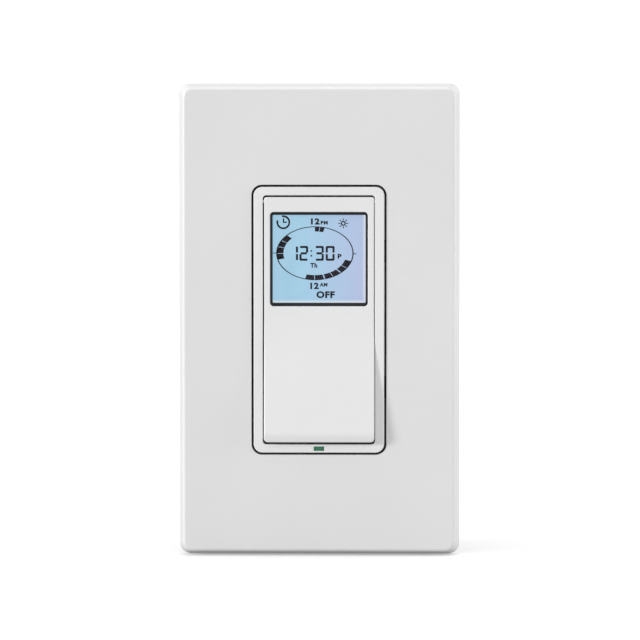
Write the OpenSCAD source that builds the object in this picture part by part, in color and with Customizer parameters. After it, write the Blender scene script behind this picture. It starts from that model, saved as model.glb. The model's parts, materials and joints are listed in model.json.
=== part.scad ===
// Timer light switch for a single wall box: a screwless plate round a bezel, with a hinged
// push pad that has the display in its window and hides the programming keys.
// Lengths are in millimetres. Each piece is drawn face on, with x to the right, y up and
// z out of the wall towards the room, and is then stood up so that the room is on the -Y side.
// The origin is the middle of the wall plane, between the two box screws.

/* [Wall plate] */
// Width of the wall plate cover
plate_w = 70; // [66:0.5:90]
// Height of the wall plate cover
plate_h = 117.5; // [112:0.5:140]
// Wall thickness of the cover
plate_wall = 2; // [1.7:0.1:3]
// Radius of the cover's corners, seen from the front
plate_corner = 2.5; // [1.8:0.1:6]
// Rounding of the cover's front edge
plate_edge = 1.5; // [0.4:0.1:1.7]
// Thickness of the sub-plate that the cover snaps to
subplate_t = 2; // [1.5:0.1:3]
// Space for screw heads between the sub-plate and the cover
plate_headroom = 1.2; // [0.8:0.1:3]
// Gap between the sub-plate's edge and the cover's wall
subplate_gap = 0.3; // [0.15:0.05:0.5]
// Gap between the sub-plate's opening and the bezel
subplate_fit = 0.15; // [0.1:0.05:0.3]
// Width of the collar round the cover's opening
collar_wall = 1.5; // [1:0.1:3]
// Reach of the snap nibs in from the cover's wall
nib_reach = 0.8; // [0.6:0.1:1.2]
// Length of a snap nib
nib_len = 10; // [4:0.5:16]
// Height of a snap nib
nib_t = 0.7; // [0.4:0.1:0.9]
// Gap between a nib and the sub-plate behind which it hooks
nib_gap = 0.1; // [0.05:0.01:0.2]
// Height above the middle of the nibs on the long sides
nib_rise = 32; // [15:0.5:45]
// Distance from the middle of the nibs on the short sides
nib_offset = 21; // [20:0.5:26]

/* [Push pad] */
// Width of the pad
pad_w = 27.05; // [26.6:0.05:30]
// Height of the pad
pad_h = 61.05; // [58:0.05:63]
// How far the pad's bottom edge stands out beyond its top edge
pad_rise = 2.7; // [0.5:0.1:4]
// Distance from the window down to the bend where the pad starts to lean out
bend_drop = 6.8; // [4:0.1:10]
// Thickness of the pad's front wall
pad_t = 1.6; // [1.2:0.1:2]
// Rounding of the pad's top and bottom front edges
pad_edge = 0.6; // [0.4:0.05:0.8]
// Radius of the pad's corners, seen from the front
pad_corner = 0.7; // [0.3:0.1:2]
// Thickness of the pad's bottom wall
pad_end_wall = 1.2; // [0.8:0.1:2]
// Gap all round the pad
pad_gap = 0.4; // [0.3:0.05:0.6]
// How far the pad's top edge lies behind the bezel's front
pad_inset = 0.1; // [0:0.05:0.4]
// Room under the pad's skirt for its travel
pad_press_room = 2; // [1.6:0.1:2.4]
// Width of the pad's frame at each side of the display window
window_side = 1.375; // [1.2:0.025:3]
// Height of the display window
window_h = 23.4; // [18:0.1:25]
// Radius of the window's corners
window_corner = 0.9; // [0.3:0.1:3]
// Distance from the pad's top edge to the window
window_drop = 3.73; // [3:0.01:6]

/* [Hinge] */
// Radius of the hinge pin
pin_r = 0.5; // [0.4:0.02:0.54]
// Radial clearance of the pin in its bores
pin_clear = 0.05; // [0.02:0.01:0.08]
// Distance of the hinge axis from the pad's top edge and from its front
pin_inset = 1.1; // [1.05:0.01:1.2]
// Wall round the pin's bore in the pad
pin_wall = 0.45; // [0.3:0.05:0.5]
// Depth of the pin's ends in the bezel
pin_reach = 1.4; // [0.6:0.1:1.8]

/* [Bezel] */
// Width of the bezel's side bars
bezel_side = 2.325; // [2:0.025:3.5]
// Height of the bezel's top and bottom bars
bezel_end = 2.125; // [1.9:0.025:3.5]
// Gap between the bezel and the cover's opening
bezel_gap = 0.45; // [0.3:0.05:0.6]
// How far the bezel stands out of the cover
bezel_proud = 0.5; // [0.3:0.1:2]
// Radius of the bezel's outer corners
bezel_corner = 2.15; // [1:0.05:4]
// Radius of the bezel's inner corners
bezel_in_corner = 0.5; // [0.1:0.05:0.8]
// Rounding of the bezel's front edge
bezel_edge = 0.4; // [0.1:0.05:0.8]
// Width of a bezel hook
hook_w = 5; // [3:0.1:8]
// Thickness of a bezel hook
hook_t = 1.2; // [0.8:0.1:1.4]
// Reach of a hook's barb
barb_reach = 0.6; // [0.3:0.05:0.8]
// Distance of a hook from the bezel's inner face
hook_inset = 0.5; // [0.35:0.05:0.7]
// Height above the middle of the hooks
hook_rise = 17; // [8:0.5:22]
// Clearance round the hooks and round parts that pass through a plate
pass_gap = 0.3; // [0.15:0.05:0.4]
// Width of the status light
light_w = 2.5; // [1.5:0.1:5]
// Height of the status light
light_h = 1; // [0.6:0.1:1.3]
// Clearance of the light pipe in the bezel
light_fit = 0.05; // [0.02:0.01:0.1]
// Reach of the light pipe's collar beyond the pipe
light_collar = 0.5; // [0.3:0.05:0.6]

/* [Strap and box screws] */
// Thickness of the steel strap
strap_t = 1.3; // [1:0.1:2]
// Place of the strap's ends, from the sub-plate screws (0) to the cover's wall (1)
strap_end_place = 0.5; // [0.4:0.01:0.8]
// Width of the strap's ears
ear_w = 28; // [18:0.5:40]
// Radius of the strap's corners
strap_corner = 2.5; // [0.5:0.1:5]
// How far the strap's middle reaches past the housing
strap_margin = 0.5; // [0.2:0.1:2]
// Spacing of the two box screws
box_pitch = 83.34; // [82.5:0.01:84.5]
// Radius of the box screw's thread
box_screw_r = 1.75; // [1.5:0.05:2]
// Length of the box screw's thread
box_screw_len = 24; // [10:0.5:40]
// Radius of the box screw's head
box_head_r = 3; // [2.6:0.1:3.2]
// Radius of the neck under the box screw's head
box_neck_r = 1.55; // [1.3:0.05:1.6]
// Side play of the neck in the strap's slot
box_slot_play = 1.6; // [0.5:0.1:2.5]
// Width of the screw retainer
retainer_w = 8.6; // [7:0.1:9]
// Gap between the screw retainer and the housing or the sub-plate screw
retainer_gap = 0.6; // [0.3:0.05:1]
// Thickness of the screw retainer
retainer_t = 0.4; // [0.2:0.05:0.45]
// Place of the sub-plate screws, from as near the box screws as they fit (0) to the cover's wall (1)
plate_screw_place = 0.208; // [0.15:0.001:0.3]
// Least web between the sub-plate's screw holes
hole_web = 0.3; // [0.2:0.05:0.6]
// Radius of the sub-plate screw's thread
plate_screw_r = 1.7; // [1.4:0.05:1.9]
// Radius of the sub-plate screw's head
plate_head_r = 2.9; // [2.4:0.1:3.2]
// Length of the sub-plate screw's thread behind the strap
plate_screw_tail = 6; // [2:0.5:12]
// Radial clearance of a screw in its threaded hole
thread_fit = 0.05; // [0.02:0.01:0.1]
// Radial clearance of a screw in a plain hole
screw_gap = 0.2; // [0.1:0.05:0.4]
// Width of a screwdriver slot
slot_w = 0.9; // [0.6:0.1:1.2]
// Depth of a screwdriver slot, as a part of the head's height
slot_share = 0.5; // [0.3:0.05:0.6]

/* [Earth tab] */
// Width of the bent earth tab
tab_w = 9; // [8:0.1:11]
// Length of the earth tab behind the strap
tab_len = 11; // [9.5:0.1:16]
// Distance of the tab's middle from the strap's side
tab_inset = 8.25; // [7:0.05:10]
// Radius of the earth screw's thread
ground_screw_r = 1.7; // [1.4:0.05:2]
// Distance across the earth screw's hexagon corners
ground_head_d = 7.6; // [6:0.1:8]
// Height of the earth screw's head
ground_head_h = 2.2; // [1.5:0.1:3]
// Edge of the tab left beyond the earth screw's head
tab_margin = 0.6; // [0.2:0.1:1.5]
// Gap between the earth tab and the housing
tab_gap = 1.2; // [0.8:0.1:2.5]

/* [Display] */
// How far the display's holder reaches behind the window's edge
window_lap = 0.1; // [0.05:0.01:0.15]
// Wall of the holder beside the display
holder_side = 0.65; // [0.5:0.05:1.5]
// Wall of the holder above and below the display
holder_end = 0.85; // [0.5:0.05:1.5]
// Gap between the pad's skirt and the holder
skirt_gap = 0.35; // [0.3:0.05:0.4]
// Gap between the pad's back and the front of the display
display_gap = 0.95; // [0.8:0.05:1.2]
// Thickness of the lens
lens_t = 1.1; // [0.6:0.1:1.6]
// Thickness of the display glass
lcd_t = 2.1; // [1.2:0.1:2.8]
// Gap between the display's pieces and the holder
display_fit = 0.05; // [0.02:0.01:0.1]
// Thickness of the rubber contact strips
strip_t = 1.3; // [0.8:0.1:2]
// Length of the rubber contact strips
strip_len = 20; // [10:0.5:22]

/* [Keys] */
// Thickness of the keypad plate
keypad_t = 1.6; // [1.2:0.1:2.4]
// Spacing of the keys from side to side
key_pitch_x = 12.4; // [8:0.1:15]
// Spacing of the keys up and down
key_pitch_y = 9; // [8:0.1:10]
// Distance from the window's bottom to the upper keys
key_drop = 6.4; // [5.5:0.1:8]
// Radius of a key
key_r = 2.75; // [2:0.05:3]
// How far a key stands out of the keypad plate
key_proud = 1.4; // [0.8:0.1:2]
// Radial clearance of a key in its hole
key_fit = 0.08; // [0.04:0.01:0.1]
// Reach of a key's flange beyond the key
key_flange = 0.6; // [0.3:0.05:0.8]
// Thickness of a key's flange
key_flange_t = 0.7; // [0.4:0.05:1]
// Gap between a flange and the keypad plate
key_rest_gap = 0.1; // [0.05:0.01:0.15]
// Length of the post under a key
key_post_len = 0.6; // [0.4:0.1:2]
// Radius of the post under a key
key_post_r = 1.2; // [0.8:0.05:1.5]
// Side of a switch's square base
switch_w = 6; // [4.5:0.1:7]
// Height of a switch's base
switch_h = 1.6; // [1.4:0.1:2.4]
// Radius of a switch's stem
stem_r = 1.6; // [1.2:0.05:1.9]
// How far a switch's stem stands out of its base
stem_proud = 0.6; // [0.5:0.05:1.2]
// How far a switch's stem reaches into its base
stem_depth = 0.7; // [0.4:0.05:0.8]
// Room under a switch's stem for its travel
stem_room = 0.45; // [0.4:0.05:0.5]
// Radial clearance of a stem in its base
stem_fit = 0.08; // [0.04:0.01:0.1]

/* [Load switch] */
// Distance from the pad's bottom edge to the plunger
plunger_rise = 8.53; // [6:0.01:10]
// Radius of the plunger
plunger_r = 1.5; // [1:0.05:2]
// Clearance of the plunger in the keypad plate, for its swing
plunger_pass = 0.7; // [0.5:0.05:1]
// Gap between the keypad plate and the boss that holds the plunger
boss_gap = 3; // [2.4:0.1:3.5]
// Wall of the boss round the plunger
boss_wall = 0.7; // [0.5:0.05:1]
// Depth of the plunger in its boss
plunger_grip = 1.8; // [1:0.1:2.2]
// Radial clearance of the plunger in its boss
plunger_fit = 0.05; // [0.02:0.01:0.1]
// Reach of the plunger's flange beyond the plunger
plunger_flange = 1; // [0.5:0.1:1.5]
// Thickness of the plunger's flange
plunger_flange_t = 0.7; // [0.4:0.05:0.9]
// Gap between the plunger and the silicone dome, taken up by a full press
plunger_gap = 1.15; // [1.1:0.05:1.4]
// Height of the silicone dome
dome_h = 1.8; // [1.5:0.1:2]
// Radius of the silicone dome's foot
dome_r = 3.2; // [2.4:0.1:4]
// Width and thickness of the silicone dome's foot
dome_foot = 0.45; // [0.3:0.05:0.7]

/* [Housing] */
// How far the housing reaches past the bezel at each side
housing_side = 5.5; // [5:0.05:6.5]
// How far the housing reaches past the bezel above and below
housing_end = 2.45; // [2.1:0.05:3.5]
// Wall thickness of the rear housing
housing_wall = 2; // [1.5:0.1:2.3]
// Radius of the housing's corners
housing_corner = 2; // [0.5:0.1:4]
// Thickness of the front housing's flange
flange_t = 2; // [1.5:0.1:4]
// Wall thickness of the front housing behind the pad
tub_wall = 1.2; // [0.9:0.05:1.25]
// Gap between the front housing and the bezel's inner faces
tub_gap = 0.4; // [0.3:0.05:0.5]
// Gap between the flange and the control board
board_rib = 0.8; // [0.6:0.05:2]
// Radius of the housing screw's thread
housing_screw_r = 1.3; // [1:0.05:1.5]
// Radius of the housing screw's head
housing_head_r = 2.3; // [1.8:0.1:2.5]
// Height of the housing screw's head
housing_head_h = 1.5; // [1:0.1:1.8]
// How far the housing screws' heads lie below the housing's back
head_sink = 0.4; // [0.2:0.1:1]
// Radius of the columns round the housing screws
column_r = 2.9; // [2.7:0.1:3.2]
// Distance of the housing screws from the housing's outside
column_inset = 4.15; // [3.9:0.05:5]

/* [Boards] */
// Thickness of the circuit boards
board_t = 1.6; // [1:0.1:2]
// Gap between a board and the housing
board_gap = 0.25; // [0.1:0.05:0.4]
// Gap between a board and the screw columns
column_gap = 0.4; // [0.2:0.05:1]
// Height of the header between the boards
header_h = 8.6; // [7:0.1:14]
// Length of the header
header_len = 14; // [8:0.5:22]
// Width of the header
header_w = 2.5; // [2:0.1:4]
// Distance of the header from the boards' top edge
header_drop = 3.4; // [2.5:0.1:5]
// Width of the status lamp
led_w = 2; // [1:0.1:3]
// Height of the status lamp
led_h = 0.8; // [0.5:0.1:1.1]
// Side of the controller chip
chip_w = 10; // [6:0.5:12]
// Height of the controller chip
chip_h = 1.4; // [0.8:0.1:3]
// Side of the memory chip
memory_w = 5; // [3:0.1:6]
// Spacing of the memory chip and the crystal from the controller chip
chip_pitch = 10; // [9:0.1:12]
// Length of the clock crystal
crystal_len = 8; // [5:0.1:9]
// Diameter of the clock crystal
crystal_d = 1.6; // [1:0.1:3]
// Radius of the backup capacitor
backup_r = 5.5; // [4:0.1:7]
// Height of the backup capacitor
backup_h = 5; // [3:0.1:6]
// Step at the backup capacitor's crimped lid
backup_step = 0.8; // [0.3:0.1:1.5]
// Length of the relay
relay_l = 20; // [14:0.5:24]
// Width of the relay
relay_w = 15; // [10:0.5:17]
// Height of the relay
relay_h = 15; // [13:0.1:20]
// Step round the relay's base
relay_lip = 0.6; // [0.3:0.1:1.2]
// Room between the relay and the rear wall
relay_room = 0.8; // [0.4:0.1:3]
// Length of the film capacitor
film_l = 18; // [12:0.5:24]
// Width of the film capacitor
film_w = 8; // [5:0.1:9]
// Height of the film capacitor
film_h = 13; // [9:0.1:13.8]
// Radius of the film capacitor's corners
film_corner = 1; // [0.3:0.1:2]
// Radius of the electrolytic capacitor
can_r = 4; // [3:0.1:4.5]
// Height of the electrolytic capacitor
can_h = 12; // [8:0.1:13.8]
// Depth of the groove round the electrolytic capacitor
can_groove = 0.4; // [0.2:0.05:0.8]
// Radius of the varistor's disc
varistor_r = 4.5; // [3:0.1:5]
// Thickness of the varistor's disc
varistor_t = 4; // [2:0.1:5]
// Radius of the varistor's leads
varistor_lead_r = 0.4; // [0.3:0.05:0.6]
// Length of the varistor's leads
varistor_lead_len = 1.5; // [0.5:0.1:4]
// Spacing of the electrolytic capacitor and the varistor
part_pitch = 13; // [10.5:0.1:16]
// Distance from the power board's ends to the middle of the parts there
part_inset = 7.25; // [6.5:0.05:8.5]

/* [Terminals] */
// Height above the middle of the terminals
terminal_rise = 14.5; // [14:0.1:15]
// Height of a terminal pocket
pocket_h = 11; // [9.6:0.1:12]
// Depth of a terminal pocket from the housing's side
pocket_in = 6; // [5.6:0.1:7]
// Wall round a terminal pocket
pocket_wall = 1.4; // [1:0.1:1.8]
// Thickness of a terminal plate
terminal_t = 1; // [0.6:0.1:1.4]
// Width of a terminal plate
terminal_w = 9; // [8:0.1:9.4]
// Length of a terminal plate
terminal_len = 10.5; // [9.6:0.1:12]
// Width of the terminal plate's leg to the board
leg_w = 3; // [2:0.1:5]
// How far the leg reaches through the board
leg_proud = 0.6; // [0.2:0.1:1.5]
// Clearance round the leg
leg_gap = 0.15; // [0.05:0.05:0.3]
// Distance from the pocket's front to the terminal screw
terminal_drop = 5.2; // [4.6:0.1:6]
// Gap for the wire between the plate and the clamp
wire_gap = 0.9; // [0.4:0.1:1.4]
// Side of the square wire clamp
clamp_w = 8; // [7:0.1:9]
// Thickness of the wire clamp
clamp_t = 1.2; // [0.8:0.1:1.6]
// Radius of the terminal screw's thread
terminal_screw_r = 1.7; // [1.4:0.05:1.9]
// Radius of the terminal screw's head
terminal_head_r = 3.3; // [2.8:0.1:3.5]
// Height of the terminal screw's head
terminal_head_h = 2; // [1.4:0.1:2.4]
// How far the terminal screw reaches behind its plate
terminal_screw_tail = 2.6; // [1.6:0.1:3]

/* [Hidden] */
$fn = 48;
// Overlap that joins two shapes of one piece
eps = 0.01;
// How far a cut runs past the face that it opens
beyond = 1;
// Gap between faces that nearly meet
seat_gap = 0.05;
// Room above a screw's head
head_gap = 0.2;
// Least radius of an inside corner
inside_corner = 0.5;

// Depths out of the wall
subplate_front = strap_t + subplate_t;
plate_ceiling = subplate_front + plate_headroom;
plate_depth = plate_ceiling + plate_wall;
bezel_front = plate_depth + bezel_proud;
pad_front_top = bezel_front - pad_inset;
board_front = -flange_t - board_rib;
board_back = board_front - board_t;
stem_top = board_front + switch_h + stem_proud;
flange_bottom = stem_top + key_post_len;
keypad_bottom = flange_bottom + key_flange_t + key_rest_gap;
keypad_top = keypad_bottom + keypad_t;
skirt_z = keypad_top + pad_press_room;
boss_end = keypad_top + boss_gap;
power_front = board_back - header_h;
power_back = power_front - board_t;
pocket_front = power_back - pocket_wall;
housing_inside = power_back - relay_h - relay_room;
housing_back = housing_inside - housing_wall;

// Pad, bezel and cover, seen from the front
bezel_in_w = pad_w + 2 * pad_gap;
bezel_in_h = pad_h + 2 * pad_gap;
bezel_w = bezel_in_w + 2 * bezel_side;
bezel_h = bezel_in_h + 2 * bezel_end;
opening_w = bezel_w + 2 * bezel_gap;
opening_h = bezel_h + 2 * bezel_gap;
opening_corner = bezel_corner + bezel_gap;
cavity_w = plate_w - 2 * plate_wall;
cavity_h = plate_h - 2 * plate_wall;
cavity_corner = max(plate_corner - plate_wall, inside_corner);
pad_top = pad_h / 2;
window_w = pad_w - 2 * window_side;
window_top = pad_top - window_drop;
window_y = window_top - window_h / 2;
window_bottom = window_top - window_h;
bend_y = window_bottom - bend_drop;
pad_slope = pad_rise / (bend_y + pad_top);
pad_lean = atan(pad_slope);
light_y = -(bezel_in_h + bezel_end) / 2;
hook_x = bezel_in_w / 2 + hook_inset;

// Hinge
pin_y = pad_top - pin_inset;
pin_z = pad_front_top - pin_inset;
pin_half = bezel_in_w / 2 + pin_reach;

// Display
holder_w = window_w + 2 * window_lap;
holder_h = window_h + 2 * window_lap;
lens_w = holder_w - 2 * holder_side - 2 * display_fit;
lens_h = holder_h - 2 * holder_end - 2 * display_fit;
display_front = pad_front_top - pad_t - display_gap;
lens_back = display_front - lens_t;
lcd_back = lens_back - lcd_t;
backlight_h = lens_h - 2 * strip_t - 4 * display_fit;
pad_cavity_w = holder_w + 2 * skirt_gap;

// Keys and load switch
upper_key_y = window_bottom - key_drop;
lower_key_y = upper_key_y - key_pitch_y;
plunger_y = plunger_rise - pad_top;
dome_top = board_front + dome_h;

// Housing and boards
housing_w = bezel_w + 2 * housing_side;
housing_h = bezel_h + 2 * housing_end;
tub_w = bezel_in_w - 2 * tub_gap;
tub_h = bezel_in_h - 2 * tub_gap;
strap_mid_w = housing_w + 2 * strap_margin;
strap_mid_h = housing_h + 2 * (tab_gap + strap_t);
column_x = housing_w / 2 - column_inset;
column_y = housing_h / 2 - column_inset;
housing_in_w = housing_w - 2 * housing_wall;
housing_in_h = housing_h - 2 * housing_wall;
board_w = housing_in_w - 2 * board_gap;
board_h = housing_in_h - 2 * board_gap;
part_y = board_h / 2 - part_inset;
notch = column_r + column_gap;
head_recess = housing_head_h + head_sink;

// Terminals, measured from the floor of a pocket
pocket_floor = housing_w / 2 - pocket_in;
terminal_z = pocket_front - terminal_drop;
clamp_x = pocket_floor + terminal_t + wire_gap;
head_x = clamp_x + clamp_t;

// Box screws and sub-plate screws
least_pitch = box_pitch + 2 * (box_head_r + plate_screw_r + 2 * screw_gap + hole_web);
most_pitch = cavity_h - 2 * (plate_head_r + pass_gap);
plate_pitch = least_pitch + plate_screw_place * (most_pitch - least_pitch);
strap_h = plate_pitch + strap_end_place * (cavity_h - plate_pitch);
box_head_h = subplate_t - head_gap;
thread_start = -retainer_t - seat_gap;
plate_head_h = plate_headroom - head_gap;

// Earth tab
tab_x = strap_mid_w / 2 - tab_inset;
tab_y = -strap_mid_h / 2;
ground_tail = tab_gap - pass_gap;
tab_screw_z = tab_margin + ground_head_d / 2 - tab_len;

// Front of the leaning pad at a height
function pad_front(y) = pad_front_top + max(bend_y - y, 0) * pad_slope;

// Stands a piece drawn face on up against the wall
module face_on() {
    rotate([90, 0, 0]) children();
}

// Repeats a piece at the four corners of a rectangle
module four(x, y) {
    for (sx = [-1, 1], sy = [-1, 1])
        translate([sx * x, sy * y, 0]) children();
}

// Repeats a piece above and below the middle
module above_and_below(pitch) {
    for (s = [-1, 1])
        translate([0, s * pitch / 2, 0]) children();
}

// Lays a side view, drawn as depth over height, along the width
module across(width) {
    rotate([90, 0, 90]) linear_extrude(width, center = true) children();
}

module rounded_rect(w, h, r) {
    square([w - 2 * r, h], center = true);
    square([w, h - 2 * r], center = true);
    four(w / 2 - r, h / 2 - r) circle(r);
}

module slab(w, h, r, z0, z1) {
    translate([0, 0, z0]) linear_extrude(z1 - z0) rounded_rect(w, h, r);
}

module block(w, h, z0, z1) {
    translate([-w / 2, -h / 2, z0]) cube([w, h, z1 - z0]);
}

module rod(r, z0, z1) {
    translate([0, 0, z0]) cylinder(r = r, h = z1 - z0);
}

// Slab with its front edge rounded all round
module soft_slab(w, h, corner, edge, z0, z1) {
    module section(span) {
        translate([-span / 2, z0]) square([span, z1 - edge - z0]);
        translate([edge - span / 2, z0]) square([span - 2 * edge, z1 - z0]);
        for (s = [-1, 1])
            translate([s * (span / 2 - edge), z1 - edge]) circle(edge);
    }
    rotate([90, 0, 0]) linear_extrude(h - 2 * corner, center = true) section(w);
    across(w - 2 * corner) section(h);
    four(w / 2 - corner, h / 2 - corner) rotate_extrude() {
        translate([0, z0]) square([corner, z1 - edge - z0]);
        translate([0, z0]) square([corner - edge, z1 - z0]);
        translate([corner - edge, z1 - edge]) intersection() {
            circle(edge);
            square(edge);
        }
    }
}

// Round screw head with a screwdriver slot, standing on z = 0
module slotted_head(r, h) {
    rim = h / 3;
    difference() {
        union() {
            cylinder(r = r, h = h - rim + eps);
            translate([0, 0, h - rim]) cylinder(r1 = r, r2 = r - rim, h = rim);
        }
        block(slot_w, 2 * r + beyond, h * (1 - slot_share), h + beyond);
    }
}

module wallplate_cover() {
    color("whitesmoke") face_on() difference() {
        union() {
            difference() {
                soft_slab(plate_w, plate_h, plate_corner, plate_edge, 0, plate_depth);
                slab(cavity_w, cavity_h, cavity_corner, -beyond, plate_ceiling);
            }
            slab(opening_w + 2 * collar_wall, opening_h + 2 * collar_wall,
                 opening_corner + collar_wall, subplate_front, plate_ceiling + eps);
            snap_nibs();
        }
        slab(opening_w, opening_h, opening_corner, -beyond, plate_depth + beyond);
    }
}

// Nibs inside the cover that hook behind the sub-plate
module snap_nibs() {
    top = strap_t - nib_gap;
    sink = plate_wall / 2;
    for (s = [-1, 1]) {
        for (t = [-1, 1])
            translate([s * (cavity_w / 2 - (nib_reach - sink) / 2), t * nib_rise, 0])
                block(nib_reach + sink, nib_len, top - nib_t, top);
        for (t = [-1, 1])
            translate([t * nib_offset, s * (cavity_h / 2 - (nib_reach - sink) / 2), 0])
                block(nib_len, nib_reach + sink, top - nib_t, top);
    }
}

module wallplate_subplate() {
    color("black") face_on() difference() {
        slab(cavity_w - 2 * subplate_gap, cavity_h - 2 * subplate_gap, cavity_corner,
             strap_t, subplate_front);
        slab(bezel_w + 2 * subplate_fit, bezel_h + 2 * subplate_fit, bezel_corner + subplate_fit,
             0, subplate_front + beyond);
        above_and_below(box_pitch) rod(box_head_r + screw_gap, 0, subplate_front + beyond);
        above_and_below(plate_pitch) rod(plate_screw_r + screw_gap, 0, subplate_front + beyond);
    }
}

module subplate_screws() {
    color("silver") face_on() above_and_below(plate_pitch) {
        translate([0, 0, subplate_front]) slotted_head(plate_head_r, plate_head_h);
        rod(plate_screw_r, -plate_screw_tail, subplate_front + eps);
    }
}

// Slots for the bezel's hooks
module hook_slots() {
    inner = hook_x - pass_gap;
    outer = hook_x + hook_t + barb_reach + pass_gap;
    four((inner + outer) / 2, hook_rise)
        square([outer - inner, hook_w + 2 * pass_gap], center = true);
}

module mounting_strap() {
    neck = box_neck_r + screw_gap;
    color("lightgray") face_on() {
        linear_extrude(strap_t) difference() {
            union() {
                rounded_rect(strap_mid_w, strap_mid_h, strap_corner);
                rounded_rect(ear_w, strap_h, strap_corner);
            }
            square([bezel_in_w, bezel_in_h], center = true);
            translate([0, light_y])
                square([light_w + 2 * (light_collar + pass_gap),
                        light_h + 2 * (light_collar + pass_gap)], center = true);
            hook_slots();
            above_and_below(box_pitch) {
                square([box_slot_play, 2 * neck], center = true);
                for (s = [-1, 1])
                    translate([s * box_slot_play / 2, 0]) circle(neck);
            }
            above_and_below(plate_pitch) circle(plate_screw_r + thread_fit);
            four(column_x, column_y) circle(housing_screw_r + thread_fit);
        }
        difference() {
            translate([tab_x - tab_w / 2, tab_y, -tab_len])
                cube([tab_w, strap_t, tab_len + strap_t / 2]);
            translate([tab_x, tab_y - beyond, tab_screw_z]) rotate([-90, 0, 0])
                cylinder(r = ground_screw_r + thread_fit, h = strap_t + 2 * beyond);
        }
    }
}

module box_screws() {
    color("silver") face_on() above_and_below(box_pitch) {
        translate([0, 0, strap_t]) slotted_head(box_head_r, box_head_h);
        rod(box_neck_r, thread_start - eps, strap_t + eps);
        rod(box_screw_r, thread_start - box_screw_len, thread_start);
    }
}

module screw_retainers() {
    low = housing_h / 2 + retainer_gap;
    high = plate_pitch / 2 - plate_screw_r - retainer_gap;
    color("ivory") face_on() difference() {
        above_and_below(low + high) block(retainer_w, high - low, -retainer_t, 0);
        above_and_below(box_pitch) rod(box_neck_r + thread_fit, -beyond, beyond);
    }
}

module ground_screw() {
    color("seagreen") face_on() translate([tab_x, tab_y, tab_screw_z]) rotate([90, 0, 0]) {
        difference() {
            cylinder(d = ground_head_d, h = ground_head_h, $fn = 6);
            block(slot_w, ground_head_d, ground_head_h * (1 - slot_share), ground_head_h + beyond);
        }
        rod(ground_screw_r, -strap_t - ground_tail, eps);
    }
}

module bezel_frame() {
    barb_top = -flange_t - seat_gap;
    barb_end = board_front + seat_gap;
    color("white") face_on() {
        difference() {
            soft_slab(bezel_w, bezel_h, bezel_corner, bezel_edge, strap_t, bezel_front);
            slab(bezel_in_w, bezel_in_h, bezel_in_corner, 0, bezel_front + beyond);
            translate([0, light_y, 0])
                block(light_w + 2 * light_fit, light_h + 2 * light_fit, 0, bezel_front + beyond);
            hinge_line(pin_r + pin_clear, pin_half + pin_clear);
        }
        for (s = [-1, 1], t = [-1, 1])
            translate([0, t * hook_rise, 0]) {
                translate([s * (hook_x + hook_t / 2), 0, 0])
                    block(hook_t, hook_w, barb_end, strap_t + eps);
                translate([s * (hook_x + (hook_t + barb_reach) / 2), 0, 0])
                    block(hook_t + barb_reach, hook_w, barb_end, barb_top);
            }
    }
}

// Round bar along the hinge axis
module hinge_line(r, half) {
    translate([-half, pin_y, pin_z]) rotate([0, 90, 0]) cylinder(r = r, h = 2 * half);
}

module status_light_pipe() {
    color("mediumseagreen") face_on() translate([0, light_y, 0]) {
        block(light_w, light_h, board_front + led_h + seat_gap, bezel_front);
        block(light_w + 2 * light_collar, light_h + 2 * light_collar, pass_gap, strap_t);
    }
}

// Side view of the pad: depth over height, with its front edges rounded
module pad_side_view() {
    foot = pad_edge - pad_top;
    upper = [-foot, pad_front_top - pad_edge];
    lower = [foot, pad_front(foot) - pad_edge / cos(pad_lean)];
    polygon([
        [-pad_top, skirt_z], [pad_top, skirt_z], [pad_top, upper.y], [upper.x, pad_front_top],
        [bend_y, pad_front_top], lower + pad_edge * [sin(pad_lean), cos(pad_lean)], [-pad_top, lower.y]
    ]);
    for (end = [upper, lower])
        translate(end) circle(pad_edge);
}

// Side view of the hollow behind the pad's front wall
module pad_hollow_view() {
    low = pad_end_wall - pad_top;
    high = pad_top + beyond;
    polygon([
        [low, skirt_z - beyond], [high, skirt_z - beyond],
        [high, pad_front_top - pad_t], [bend_y, pad_front_top - pad_t], [low, pad_front(low) - pad_t]
    ]);
}

module push_pad() {
    color("white") face_on() difference() {
        union() {
            intersection() {
                difference() {
                    across(pad_w) pad_side_view();
                    across(pad_cavity_w) pad_hollow_view();
                }
                slab(pad_w, pad_h, pad_corner, skirt_z - beyond, bezel_front + pad_rise + beyond);
            }
            hinge_line(pin_r + pin_clear + pin_wall, pad_w / 2);
            translate([0, plunger_y, 0])
                rod(plunger_r + boss_wall, boss_end, pad_front(plunger_y) - pad_t / 2);
        }
        translate([0, plunger_y, 0])
            rod(plunger_r + plunger_fit, boss_end - beyond, boss_end + plunger_grip);
        hinge_line(pin_r + pin_clear, pad_w);
        translate([0, window_y, 0])
            slab(window_w, window_h, window_corner, skirt_z - beyond, bezel_front + pad_rise);
    }
}

module pad_hinge_pin() {
    color("silver") face_on() hinge_line(pin_r, pin_half);
}

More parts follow.
